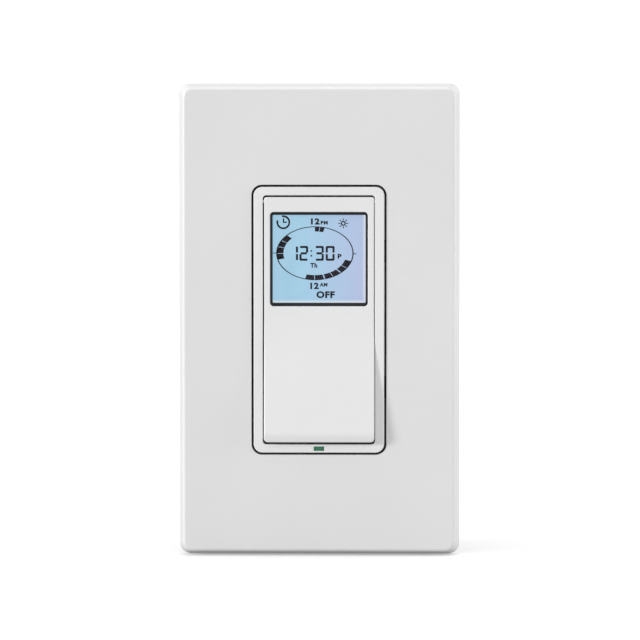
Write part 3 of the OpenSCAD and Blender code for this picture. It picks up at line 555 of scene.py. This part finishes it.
def solder_mask():
    """Green circuit board with copper tracks under the mask."""
    finish = Finish("circuit_board", Specular_IOR_Level=0.6)
    upright = finish.node("Mapping", {}, {"Vector": finish.place, "Rotation": (math.pi / 2, 0, 0)})
    layout = {"Vector": upright, "Scale": 260, "Mortar Size": 0.035, "Brick Width": 1.3, "Row Height": 0.55}
    tracks = finish.node("TexBrick", {"offset": 0.37}, layout, "Fac")
    cloud = finish.noise(3, 3)
    green = finish.mix(cloud, (0.008, 0.10, 0.035, 1), (0.012, 0.14, 0.05, 1))
    finish.feed("Base Color", finish.mix(tracks, green, (0.03, 0.26, 0.09, 1)))
    finish.feed("Roughness", 0.3 + 0.15 * cloud)
    finish.relief(tracks, 0.03)
    return finish.material


def rubbery(name, color, rough, layers=0.0):
    """Soft rubber with a dusty bloom, layered along its length where it is a contact strip."""
    finish = Finish(name, Specular_IOR_Level=0.3, Subsurface_Weight=0.1, Subsurface_Scale=0.0008)
    dust = finish.noise(1.2, 4)
    bands = finish.node("Math", {"operation": "SINE"}, {0: finish.across("X") * 30})
    finish.feed("Base Color", finish.mix(0.5 * dust + layers * bands, tone(color, 0.8), tone(color, 1.3)))
    finish.feed("Roughness", rough + 0.15 * (dust - 0.5))
    finish.relief(dust, 0.01)
    return finish.material


def pressed_fibre():
    finish = Finish("fibre", Specular_IOR_Level=0.2)
    strands = finish.noise(0.5, 5, (1, 1, 0.2))
    flecks = finish.noise(0.25, 3)
    finish.feed("Base Color", finish.mix(strands, (0.48, 0.36, 0.2, 1), (0.74, 0.64, 0.46, 1)))
    finish.feed("Roughness", 0.75 + 0.2 * (flecks - 0.5))
    finish.relief(strands, 0.03)
    return finish.material


FINISHES = {
    "white_front": moulded("white_front", (0.725, 0.725, 0.73), 0.36),
    "white_plate": moulded("white_plate", (0.68, 0.68, 0.685), 0.36),
    "white_inner": moulded("white_inner", (0.62, 0.62, 0.60), 0.5, 0.5, 0.01),
    "light_gray_keys": moulded("light_gray_keys", (0.36, 0.37, 0.39), 0.48, 0.3, 0.01),
    "black_plastic": moulded("black_plastic", (0.012, 0.012, 0.014), 0.45, 0.3, 0.008, 0.15),
    "dark_gray_housing": moulded("dark_gray_housing", (0.045, 0.045, 0.05), 0.52, 0.6, 0.03, 0.12),
    "clear_lens": clear_pane(),
    "display_glass": lit_display(),
    "backlight_white": moulded("backlight_white", (0.8, 0.85, 0.88), 0.4),
    "green_light": green_pipe(),
    "zinc_steel": plated("zinc_steel", (0.62, 0.62, 0.60), 0.34, 0.5),
    "pin_steel": plated("pin_steel", (0.66, 0.66, 0.66), 0.22),
    "brass": plated("brass", (0.72, 0.52, 0.20), 0.3, 0.15, 1.2),
    "black_screw": painted("black_screw", (0.02, 0.02, 0.021), 0.38),
    "red_screw": painted("red_screw", (0.32, 0.025, 0.02), 0.36),
    "green_screw": painted("green_screw", (0.015, 0.16, 0.05), 0.36),
    "fibre": pressed_fibre(),
    "silicone": rubbery("silicone", (0.42, 0.42, 0.40), 0.55),
    "contact_rubber": rubbery("contact_rubber", (0.10, 0.10, 0.11), 0.6, 0.4),
    "circuit_board": solder_mask(),
    "relay_case": moulded("relay_case", (0.02, 0.035, 0.14), 0.3, 0.4, 0.004, 0.08),
    "film_case": moulded("film_case", (0.45, 0.26, 0.04), 0.3, 0.5, 0.006, 0.1),
    "can_sleeve": moulded("can_sleeve", (0.01, 0.015, 0.06), 0.25, 0.6, 0.004, 0.1),
    "varistor_coat": moulded("varistor_coat", (0.02, 0.08, 0.24), 0.35, 0.9, 0.05, 0.12),
    "can_metal": plated("can_metal", (0.58, 0.6, 0.62), 0.28),
    "chip_epoxy": moulded("chip_epoxy", (0.015, 0.015, 0.016), 0.6, 0.25, 0.012, 0.15),
    "ink": ink(),
    "icon_print": moulded("icon_print", (0.06, 0.065, 0.07), 0.6, 0.2, 0.004, 0.1),
}


# Front pieces


def plate_cover():
    plate = slab("plate_cover", PLATE_W, PLATE_H, PLATE_CORNER, 0, PLATE_FRONT)
    pick(plate, "FACE", at_depth(PLATE_FRONT))
    bpy.ops.transform.resize(value=(1 - 2 * PLATE_DRAFT / PLATE_W, 1, 1 - 2 * PLATE_DRAFT / PLATE_H))
    done()
    round_off(plate, PLATE_ROUND, 6, at_depth(PLATE_FRONT))
    inside_w, inside_h = PLATE_W - 2 * PLATE_WALL, PLATE_H - 2 * PLATE_WALL
    cut(plate, slab("plate_hollow", inside_w, inside_h, HOLLOW_CORNER, -PAST, FACE_BACK))
    collar_w, collar_h = OPENING_W + 2 * COLLAR_WALL, OPENING_H + 2 * COLLAR_WALL
    collar_corner = OPENING_CORNER + COLLAR_WALL
    add(plate, slab("plate_collar", collar_w, collar_h, collar_corner, COLLAR_BACK, FACE_BACK + SUNK))
    for side in (-1, 1):
        side_x, end_up = side * (inside_w / 2 + SUNK), side * (inside_h / 2 + SUNK)
        for end in (-1, 1):
            add(plate, block("side_nib", NIB_THICK, NIB_LONG, NIB_BACK, NIB_FRONT, side_x, end * NIB_UP))
            add(plate, block("end_nib", NIB_LONG, NIB_THICK, NIB_BACK, NIB_FRONT, end * NIB_X, end_up))
    cut(plate, slab("plate_opening", OPENING_W, OPENING_H, OPENING_CORNER, -PAST, PLATE_FRONT + PAST))
    round_off(plate, OPENING_ROUND, 2, at_depth(PLATE_FRONT, OPENING_W, OPENING_H))
    stands_for(smooth(plate), "wallplate_cover", FINISHES["white_plate"])


def bezel():
    tool_back, tool_front = BEZEL_BACK - PAST, BEZEL_FRONT + PAST
    ring = slab("bezel", BEZEL_W, BEZEL_H, BEZEL_CORNER, BEZEL_BACK, BEZEL_FRONT)
    round_off(ring, BEZEL_ROUND, 3, at_depth(BEZEL_FRONT))
    cut(ring, slab("bezel_inside", BEZEL_IN_W, BEZEL_IN_H, BEZEL_IN_CORNER, tool_back, tool_front))
    round_off(ring, BEZEL_IN_ROUND, 3, at_depth(BEZEL_FRONT, BEZEL_IN_W, BEZEL_IN_H))
    slot_w, slot_h = LIGHT_W + LIGHT_PLAY, LIGHT_H + LIGHT_PLAY
    cut(ring, block("light_slot", slot_w, slot_h, tool_back, tool_front, 0, LIGHT_UP))
    barb_x = HOOK_X + (BARB_THICK - HOOK_THICK) / 2
    barb_front = HOOK_END + BARB_TALL
    for side in (-1, 1):
        for up in (-HOOK_UP, HOOK_UP):
            add(ring, block("hook", HOOK_THICK, HOOK_LONG, HOOK_END, BEZEL_BACK + SUNK, side * HOOK_X, up))
            add(ring, block("barb", BARB_THICK, HOOK_LONG, HOOK_END, barb_front, side * barb_x, up))
    cut(ring, bar("pin_bore", PIN_BORE, PIN_BORE_LONG))
    stands_for(smooth(ring), "bezel_frame", FINISHES["white_front"])


def split(piece, up):
    """Cuts a line across all faces of a piece at a height."""
    pick(piece, "FACE", everything)
    bpy.ops.mesh.bisect(plane_co=place(0, up, 0), plane_no=(0, 0, 1))
    done()


def pad_hollow():
    """The space behind the pad's face, which follows the pad's bend, open at the back and the top."""
    low, high, front = PAD_BOTTOM + PAD_FOOT, PAD_TOP + PAST, PAD_OUT - PAD_WALL
    space = block("pad_hollow", PAD_HOLLOW_W, high - low, SKIRT_OUT - PAST, front, 0, (high + low) / 2)
    split(space, PAD_BEND)
    pick(space, "EDGE", lambda points: all(q.z > front - NEAR and q.y < low + NEAR for q in points))
    bpy.ops.transform.translate(value=place(0, 0, pad_front(low) - PAD_OUT))
    done()
    return space


def push_pad():
    def corner(end):
        """Test for the edges at the two corners of one end."""
        return lambda points: runs_out(points) and abs(points[0].y - end) < TOUCH

    def rim(points):
        """Test for the front's outer edges, without the lines that cross it."""
        crosses = abs(points[0].x - points[1].x) > PAD_W / 2
        between = PAD_BOTTOM + TOUCH < points[0].y < PAD_TOP - TOUCH
        return all(q.z > (SKIRT_OUT + PAD_OUT) / 2 for q in points) and not (crosses and between)

    def lines(up, reach, steps):
        """Heights of the cuts on either side of a turning line."""
        return [up + reach * step / steps for step in range(-steps, steps + 1)]

    pad = block("pad", PAD_W, PAD_TOP - PAD_BOTTOM, SKIRT_OUT, PAD_OUT, PAD_X, (PAD_TOP + PAD_BOTTOM) / 2)
    round_off(pad, PAD_TOP_CORNER, 5, corner(PAD_TOP))
    round_off(pad, PAD_BOTTOM_CORNER, 6, corner(PAD_BOTTOM))
    for up in lines(PAD_BEND, BEND_SOFT, 4) + lines(PAD_LIP, LIP_SOFT, 3):
        split(pad, up)
    for vertex in pad.data.vertices:
        if vertex.co.y < place(0, 0, PAD_OUT - NEAR).y:
            vertex.co.y = place(0, 0, pad_front(vertex.co.z / MM)).y
    round_off(pad, PAD_ROUND, 4, rim)
    cut(pad, pad_hollow())
    add(pad, bar("hinge_barrel", BARREL_R, PAD_W - BARREL_SHORT))
    boss_front = pad_front(PLUNGER_UP) - PAD_WALL / 2
    add(pad, turned("boss", [(BOSS_R, PLUNGER_SEAT), (BOSS_R, boss_front)], 0, PLUNGER_UP))
    cut(pad, turned("boss_bore", [(BOSS_BORE, SKIRT_OUT), (BOSS_BORE, PLUNGER_END)], 0, PLUNGER_UP))
    cut(pad, bar("pin_bore", PIN_BORE, PAD_W + 2 * PAST))
    window_back, window_front = SKIRT_OUT - PAST, PAD_OUT + PAST
    cut(pad, slab("window", WINDOW_W, WINDOW_H, WINDOW_CORNER, window_back, window_front, 0, WINDOW_UP, 6))
    round_off(pad, WINDOW_ROUND, 3, at_depth(PAD_OUT, WINDOW_W, WINDOW_H, WINDOW_UP))
    stands_for(smooth(pad), "push_pad", FINISHES["white_front"])


def plunger():
    """Pin with a blunt tip and a collar that seats on the pad's boss."""
    radius, wide = PLUNGER_R, PLUNGER_COLLAR_R
    tip = [(radius - 0.4, PLUNGER_TIP), (radius - 0.12, PLUNGER_TIP + 0.08), (radius, PLUNGER_TIP + 0.3)]
    collar = [(radius, PLUNGER_COLLAR), (wide - 0.2, PLUNGER_COLLAR), (wide, PLUNGER_COLLAR + 0.2)]
    collar += [(wide, PLUNGER_SEAT), (radius, PLUNGER_SEAT)]
    end = [(radius, PLUNGER_END - 0.1), (radius - 0.1, PLUNGER_END)]
    pin = turned("plunger", tip + collar + end, 0, PLUNGER_UP)
    stands_for(smooth(pin), "load_plunger", FINISHES["white_inner"])


def dome():
    """Silicone dome: a flat foot, a thin sloping skirt and a dished top."""
    foot = [(3.2, BOARD_FRONT), (3.2, -2.5), (3.05, -2.36), (2.78, -2.34)]
    skirt = [(2.55, -2.2), (2.1, -1.6), (1.75, -1.15)]
    top = [(1.5, -1.03), (1.2, -1.0), (0.5, -1.08)]
    cap = turned("dome", foot + skirt + top, 0, PLUNGER_UP)
    stands_for(smooth(cap, angle=50), "load_dome", FINISHES["silicone"])


def icon(points, radius):
    """Small flat sign that stands on a key."""
    sign = disc("icon", points, radius, 0, 0, ICON_BACK)
    pick(sign, "FACE", everything)
    bpy.ops.mesh.extrude_region_move(TRANSFORM_OT_translate={"value": place(0, 0, ICON_TALL)})
    turn_outwards()
    round_off(sign, ICON_ROUND, 2, lambda points: all(q.z > ICON_BACK + ICON_TALL / 2 for q in points))
    return sign


def keys():
    """Four round keys, each with a flange that holds it behind the moulding, a dished top and a sign."""
    stem = [(KEY_STEM_R, KEY_STEM_END), (KEY_STEM_R, 0)]
    flange = [(KEY_FLANGE_R, 0), (KEY_FLANGE_R, KEY_FLANGE - 0.15), (KEY_FLANGE_R - 0.15, KEY_FLANGE)]
    side = [(KEY_R, KEY_FLANGE), (KEY_R, KEY_FRONT - 0.35)]
    top = [(KEY_R - 0.09, KEY_FRONT - 0.13), (KEY_R - 0.3, KEY_FRONT - 0.01), (KEY_R - 0.55, KEY_FRONT)]
    dish = [(1.2, KEY_FRONT - 0.08), (0.4, KEY_FRONT - 0.1)]
    cap = smooth(turned("key", stem + flange + side + top + dish))
    arrow, dot = icon(3, ARROW_R), icon(32, DOT_R)
    for name, x, up, sign, turn in (
        ("up", KEY_X, KEY_UPS[0], arrow, 0),
        ("down", KEY_X, KEY_UPS[1], arrow, 180),
        ("enter", -KEY_X, KEY_UPS[0], dot, 0),
        ("back", -KEY_X, KEY_UPS[1], arrow, -90),
    ):
        node = name + "_button"
        stands_for(twin(cap, name + "_key", x, up), node, FINISHES["light_gray_keys"])
        mark = twin(sign, name + "_icon", x, up, turn)
        mark.data.materials.append(FINISHES["icon_print"])
        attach(mark, BODY_OF[node])
    for piece in (cap, arrow, dot):
        bpy.data.objects.remove(piece, do_unlink=True)


def display():
    holder = block("display_surround", HOLDER_W, HOLDER_H, BOARD_FRONT, DISPLAY_FRONT, 0, WINDOW_UP)
    round_off(holder, HOLDER_ROUND, 2, at_depth(DISPLAY_FRONT))
    inside_w, inside_h = LENS_W + LENS_PLAY, LENS_H + LENS_PLAY
    tool_back, tool_front = BOARD_FRONT - PAST, DISPLAY_FRONT + PAST
    cut(holder, block("display_opening", inside_w, inside_h, tool_back, tool_front, 0, WINDOW_UP))
    stands_for(smooth(holder), "display_holder", FINISHES["black_plastic"])
    glass = block("display_panel", LENS_W, LENS_H, GLASS_BACK, GLASS_FRONT, 0, WINDOW_UP)
    round_off(glass, GLASS_CORNER, 2, runs_out)
    stands_for(smooth(glass), "lcd_panel", FINISHES["display_glass"])
    pane = block("display_pane", LENS_W, LENS_H, GLASS_FRONT + LENS_GAP, DISPLAY_FRONT, 0, WINDOW_UP)
    round_off(pane, LENS_ROUND, 3, at_depth(DISPLAY_FRONT))
    stands_for(smooth(pane), "display_lens", FINISHES["clear_lens"])


def light_pipe():
    pipe = block("light_pipe", LIGHT_W, LIGHT_H, LIGHT_BACK, BEZEL_FRONT, 0, LIGHT_UP)
    collar_w, collar_h = LIGHT_W + 2 * LIGHT_COLLAR, LIGHT_H + 2 * LIGHT_COLLAR
    collar_back = BEZEL_BACK - LIGHT_COLLAR_LONG
    add(pipe, block("light_collar", collar_w, collar_h, collar_back, BEZEL_BACK, 0, LIGHT_UP))
    round_off(pipe, LIGHT_ROUND, 3, at_depth(BEZEL_FRONT))
    stands_for(smooth(pipe), "status_light_pipe", FINISHES["green_light"])


# Figures on the display, which stand just out of the glass

FIGURE_BACK, FIGURE_FRONT = GLASS_FRONT - 0.015, GLASS_FRONT + 0.025
FIGURE_SHIFT = (-0.2, 0.18)

# Time: the segments of each digit and where it starts and ends
TIME_LOW, TIME_HIGH = 14.44, 18.14
DIGITS = (("bc", -7.2, -5.05), ("abged", -4.71, -2.54), ("abgcd", -0.8, 1.36), ("abcdef", 1.83, 4.05))
STROKE, STROKE_GAP, MIDDLE_GAP = 0.54, 0.18, 0.33
COLON_X, COLON_UPS, DOT = -1.93, (15.5, 16.7), 0.38

# Day ring: its middle, half width, half height and inner share, the dark hours as angles, and a tick on
# either side with its start, end and lower edge
RING = (-0.86, 16.3)
LINE_SIZE, HOUR_SIZE = (9.64, 6.7, 0.97), (9.44, 6.54, 0.83)
HOURS = (
    (75, 82), (83, 90), (137, 151), (152, 165), (166, 180), (181, 194),
    (255, 269), (270, 284), (286, 298), (299, 312), (314, 326), (327, 343),
)
TICKS, TICK_THICK = ((-11.3, -10.1, 16.26), (8.45, 9.5, 16.08)), 0.18

# Signs in the upper corners
CLOCK, CLOCK_R, CLOCK_SHARE, CLOCK_GAP = (-8.72, 24.02), 1.72, 0.74, (100, 160)
CLOCK_HANDS = ((-8.84, -8.52, 24.0, 25.0), (-8.84, -7.86, 23.88, 24.2))
SUN, SUN_R, SUN_SHARE = (6.21, 23.75), 0.62, 0.5
RAY_START, RAY_END, RAY_THICK, RAYS = 0.72, 1.24, 0.22, 8

# Letters and numbers, each with its left, right, lower and upper edge
LETTER_WEIGHT, LETTER_SPACE = 0.05, 1.12
WORDS = (
    ("12", -1.84, 0.32, 23.45, 25.02),
    ("PM", 0.58, 2.35, 23.45, 24.4),
    ("P", 4.80, 5.80, 14.98, 16.15),
    ("Th", -2.01, -0.27, 12.7, 13.9),
    ("12", -2.0, 0.10, 7.38, 9.0),
    ("AM", 0.35, 2.26, 8.02, 8.96),
    ("OFF", -0.47, 4.08, 5.12, 6.86),
)


def segment(x0, x1, low, high):
    return block("segment", x1 - x0, high - low, FIGURE_BACK, FIGURE_FRONT, (x0 + x1) / 2, (low + high) / 2)


def band(middle, size, keep, points):
    """Part of an oval band. Keep says if it is dark at an angle, in degrees anticlockwise from the right."""
    x, up = middle
    half_w, half_h, inner = size
    bpy.ops.object.select_all(action="DESELECT")
    centre = place(x, up, FIGURE_BACK)
    facing = (math.pi / 2, 0, 0)
    bpy.ops.mesh.primitive_circle_add(vertices=points, radius=1, location=centre, rotation=facing)
    bpy.context.object.scale = Vector((half_w, half_h, 1)) * MM
    piece = settled("band")
    pick(piece, "EDGE", everything)
    bpy.ops.mesh.extrude_region_move()
    bpy.ops.transform.resize(value=(inner, 1, inner), center_override=centre)
    done()

    def spare(corners):
        spot = sum(corners, Vector()) / len(corners)
        return not keep(math.degrees(math.atan2((spot.y - up) / half_h, (spot.x - x) / half_w)) % 360)

    pick(piece, "FACE", spare)
    bpy.ops.mesh.delete(type="FACE")
    bpy.ops.mesh.select_all(action="SELECT")
    thickness = place(0, 0, FIGURE_FRONT - FIGURE_BACK)
    bpy.ops.mesh.extrude_region_move(TRANSFORM_OT_translate={"value": thickness})
    turn_outwards()
    return piece


def lettering(words, x0, x1, low, high):
    """Generic figures and letters, fitted into a rectangle."""
    bpy.ops.object.select_all(action="DESELECT")
    bpy.ops.object.text_add()
    text = bpy.context.object.data
    text.body = words
    text.offset = LETTER_WEIGHT
    text.space_character = LETTER_SPACE
    text.extrude = (FIGURE_FRONT - FIGURE_BACK) / 2
    text.resolution_u = 4
    bpy.ops.object.convert(target="MESH")
    piece = bpy.context.object
    corners = [v.co for v in piece.data.vertices]
    left, right = min(c.x for c in corners), max(c.x for c in corners)
    bottom, top = min(c.y for c in corners), max(c.y for c in corners)
    wide, tall = (x1 - x0) / (right - left), (high - low) / (top - bottom)
    piece.rotation_euler = (math.pi / 2, 0, 0)
    piece.scale = Vector((wide, tall, 1)) * MM
    piece.location = place(x0 - left * wide, low - bottom * tall, (FIGURE_BACK + FIGURE_FRONT) / 2)
    return settled("lettering")


def digit(lit, x0, x1):
    """Seven-segment digit: a top, b and c right, d bottom, e and f left, g middle."""
    low, high, middle = TIME_LOW, TIME_HIGH, (TIME_LOW + TIME_HIGH) / 2
    spots = {
        "a": (x0 + STROKE_GAP, x1 - STROKE_GAP, high - STROKE, high),
        "d": (x0 + STROKE_GAP, x1 - STROKE_GAP, low, low + STROKE),
        "g": (x0 + MIDDLE_GAP, x1 - MIDDLE_GAP, middle - STROKE / 2, middle + STROKE / 2),
        "b": (x1 - STROKE, x1, middle + STROKE_GAP, high - STROKE_GAP),
        "c": (x1 - STROKE, x1, low + STROKE_GAP, middle - STROKE_GAP),
        "e": (x0, x0 + STROKE, low + STROKE_GAP, middle - STROKE_GAP),
        "f": (x0, x0 + STROKE, middle + STROKE_GAP, high - STROKE_GAP),
    }
    return [segment(*spots[name]) for name in lit]


def time_figures():
    made = [segment(COLON_X, COLON_X + DOT, up, up + DOT) for up in COLON_UPS]
    for lit, x0, x1 in DIGITS:
        made += digit(lit, x0, x1)
    return made


def day_ring():
    """Oval line with its dark hours and a tick on either side."""
    line = band(RING, LINE_SIZE, lambda angle: True, points=144)
    hours = band(RING, HOUR_SIZE, lambda angle: any(a < angle < b for a, b in HOURS), points=360)
    return [line, hours] + [segment(x0, x1, low, low + TICK_THICK) for x0, x1, low in TICKS]


def clock_sign():
    """Round clock face, open at its upper left, with two hands."""
    start, end = CLOCK_GAP
    size = (CLOCK_R, CLOCK_R, CLOCK_SHARE)
    face = band(CLOCK, size, lambda angle: not start < angle < end, points=60)
    return [face] + [segment(*hand) for hand in CLOCK_HANDS]


def sun_sign():
    made = [band(SUN, (SUN_R, SUN_R, SUN_SHARE), lambda angle: True, points=24)]
    x, up = SUN
    for spoke in range(RAYS):
        ray = segment(x + RAY_START, x + RAY_END, up - RAY_THICK / 2, up + RAY_THICK / 2)
        pick(ray, "FACE", everything)
        turn = math.radians(spoke * 360 / RAYS)
        bpy.ops.transform.rotate(value=turn, orient_axis="Y", center_override=place(x, up, FIGURE_BACK))
        done()
        made.append(ray)
    return made


def figures():
    words = [lettering(*word) for word in WORDS]
    piece = together("display_figures", time_figures() + day_ring() + clock_sign() + sun_sign() + words)
    pick(piece, "FACE", everything)
    bpy.ops.transform.translate(value=place(*FIGURE_SHIFT, 0))
    done()
    piece.data.materials.clear()
    piece.data.materials.append(FINISHES["ink"])
    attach(piece, "switch_body")


# Screws. A head's outline has how far in and how far out its points lie, in heights of the head.

PITCH, CREST_START, CREST_END, THREAD_DEPTH = 0.8, 0.34, 0.42, 0.28
POINT_LONG, POINT_SHARE, DRIVE_W = 0.5, 0.55, 0.9
HEAD_OUTLINE = ((0, 0), (0, 0.55), (0.15, 0.82), (0.4, 1))


def screw_pair(node, rise, seat, head_r, head_h, neck_r, neck_end, shank_r, tip):
    """Two slotted screws a rise above and below the middle, heads to the room, their threads as rings."""
    root = shank_r - THREAD_DEPTH
    ridge = tip + POINT_LONG
    steps = [(root * POINT_SHARE, tip), (root, ridge)]
    while ridge + PITCH < neck_end:
        steps += [(shank_r, ridge + CREST_START), (shank_r, ridge + CREST_END), (root, ridge + PITCH)]
        ridge += PITCH
    steps += [(root, neck_end), (neck_r, neck_end), (neck_r, seat)]
    steps += [(head_r - inwards * head_h, seat + out * head_h) for inwards, out in HEAD_OUTLINE]
    screw = turned("screw", steps, points=32)
    cut(screw, block("slot", DRIVE_W, 2 * head_r + PAST, seat + head_h / 2, seat + head_h + PAST))
    smooth(screw)
    pair = together(node + "_pair", [twin(screw, "screw_copy", 0, side * rise) for side in (-1, 1)])
    bpy.data.objects.remove(screw, do_unlink=True)
    stands_for(pair, node, FINISHES[SLOT_OF[node]])


plate_cover()
bezel()
push_pad()
plunger()
dome()
keys()
display()
figures()
light_pipe()
screw_pair(
    "box_screws", rise=41.67, seat=1.3, head_r=3.0, head_h=1.8,
    neck_r=1.55, neck_end=-0.46, shank_r=1.75, tip=-24.45,
)
screw_pair(
    "subplate_screws", rise=48.42, seat=3.3, head_r=2.9, head_h=1.0,
    neck_r=1.7, neck_end=3.0, shank_r=1.7, tip=-6.0,
)


# Back pieces: the solids with their edges broken


def recess(name, width, height, corner, depth, up=0):
    """Tool that sinks a rounded rectangle into the housing's back."""
    return slab(name, width, height, corner, HOUSING_BACK - PAST, HOUSING_BACK + depth, 0, up)


def back_marks():
    """Tools for a bare label recess, a wire strip gauge, vents and ejector marks."""
    marks = [recess("label_recess", *LABEL), recess("strip_gauge", *GAUGE, GAUGE_UP)]
    ejector = [(EJECTOR_R, HOUSING_BACK - PAST), (EJECTOR_R, HOUSING_BACK + EJECTOR_DEPTH)]
    for end in (-1, 1):
        marks += [recess("vent", *VENT, end * up) for up in VENT_UPS]
        for x in (-EJECTOR_X, EJECTOR_X):
            marks.append(turned("ejector_mark", ejector, x, end * EJECTOR_UP))
    return marks


hollows_of = {"rear_housing": back_marks()}
for node, width in EDGE_WIDTHS.items():
    softened(node, width, hollows_of.get(node, ()))

for node, solid in NODES.items():
    if not solid.hide_render:
        solid.data.materials.clear()
        solid.data.materials.append(FINISHES[SLOT_OF[node]])


# Floor, light and camera


def floor():
    """Pale sheet that the switch stands on, which throws back less light than it shows."""
    bpy.ops.object.select_all(action="DESELECT")
    bpy.ops.mesh.primitive_plane_add(size=3, location=(0, 0, cad_box[0].z))
    sheet = settled("floor")
    pale = Finish("pale_floor", Roughness=0.8, Emission_Color=(1, 1, 1, 1), Emission_Strength=0.2)
    seen = pale.mix(pale.noise(90, 3), (0.78, 0.78, 0.78, 1), (0.8, 0.8, 0.8, 1))
    looked_at = pale.node("LightPath", {}, {}, "Is Camera Ray")
    pale.feed("Base Color", pale.mix(looked_at, (0.35, 0.35, 0.35, 1), seen))
    sheet.data.materials.append(pale.material)


def lamp(kind, name, spot, energy):
    """Lamp at a place in metres, which shines at the switch."""
    bpy.ops.object.light_add(type=kind, location=spot)
    made = bpy.context.object
    made.name = name
    made.rotation_euler = Vector(spot).to_track_quat("Z", "Y").to_euler()
    made.data.energy = energy
    return made.data


def background(tree, strength):
    made = tree.nodes.new("ShaderNodeBackground")
    made.inputs["Color"].default_value = (1, 1, 1, 1)
    made.inputs["Strength"].default_value = strength
    return made.outputs[0]


def studio():
    """White surroundings, a little brighter to the camera than as light."""
    world = bpy.data.worlds.new("studio")
    bpy.context.scene.world = world
    world.use_nodes = True
    tree = world.node_tree
    tree.nodes.clear()
    path = tree.nodes.new("ShaderNodeLightPath")
    either = tree.nodes.new("ShaderNodeMixShader")
    surroundings = tree.nodes.new("ShaderNodeOutputWorld")
    tree.links.new(path.outputs["Is Camera Ray"], either.inputs[0])
    tree.links.new(background(tree, 0.8), either.inputs[1])
    tree.links.new(background(tree, 1.05), either.inputs[2])
    tree.links.new(either.outputs[0], surroundings.inputs["Surface"])


floor()
lamp("SUN", "overhead", (0.03, 0.1, 1), energy=0.75).angle = math.radians(16)
lamp("AREA", "side_light", (1.1, -0.08, 0.1), energy=6).size = 0.5
lamp("SUN", "key_light", (-1.2, -0.62, 0.27), energy=2.1).angle = math.radians(12)
studio()
bpy.context.scene.view_settings.view_transform = "Standard"

AZIMUTH, ELEVATION, DISTANCE = math.radians(1.0), math.radians(2.5), 0.9
PICTURE_W, PICTURE_SHIFT, SENSOR_W = 0.1589, 0.27, 36
level = math.cos(ELEVATION)
right = Vector((math.cos(AZIMUTH), math.sin(AZIMUTH), 0))
towards = Vector((math.sin(AZIMUTH) * level, -math.cos(AZIMUTH) * level, math.sin(ELEVATION)))
aim = place(0, 0, PLATE_FRONT) + right * PICTURE_SHIFT * MM
bpy.ops.object.camera_add(location=aim + towards * DISTANCE)
camera = bpy.context.object
camera.rotation_euler = (-towards).to_track_quat("-Z", "Y").to_euler()
camera.data.sensor_width = SENSOR_W
camera.data.lens = SENSOR_W * DISTANCE / PICTURE_W
camera.data.clip_start = 0.01
bpy.context.scene.camera = camera
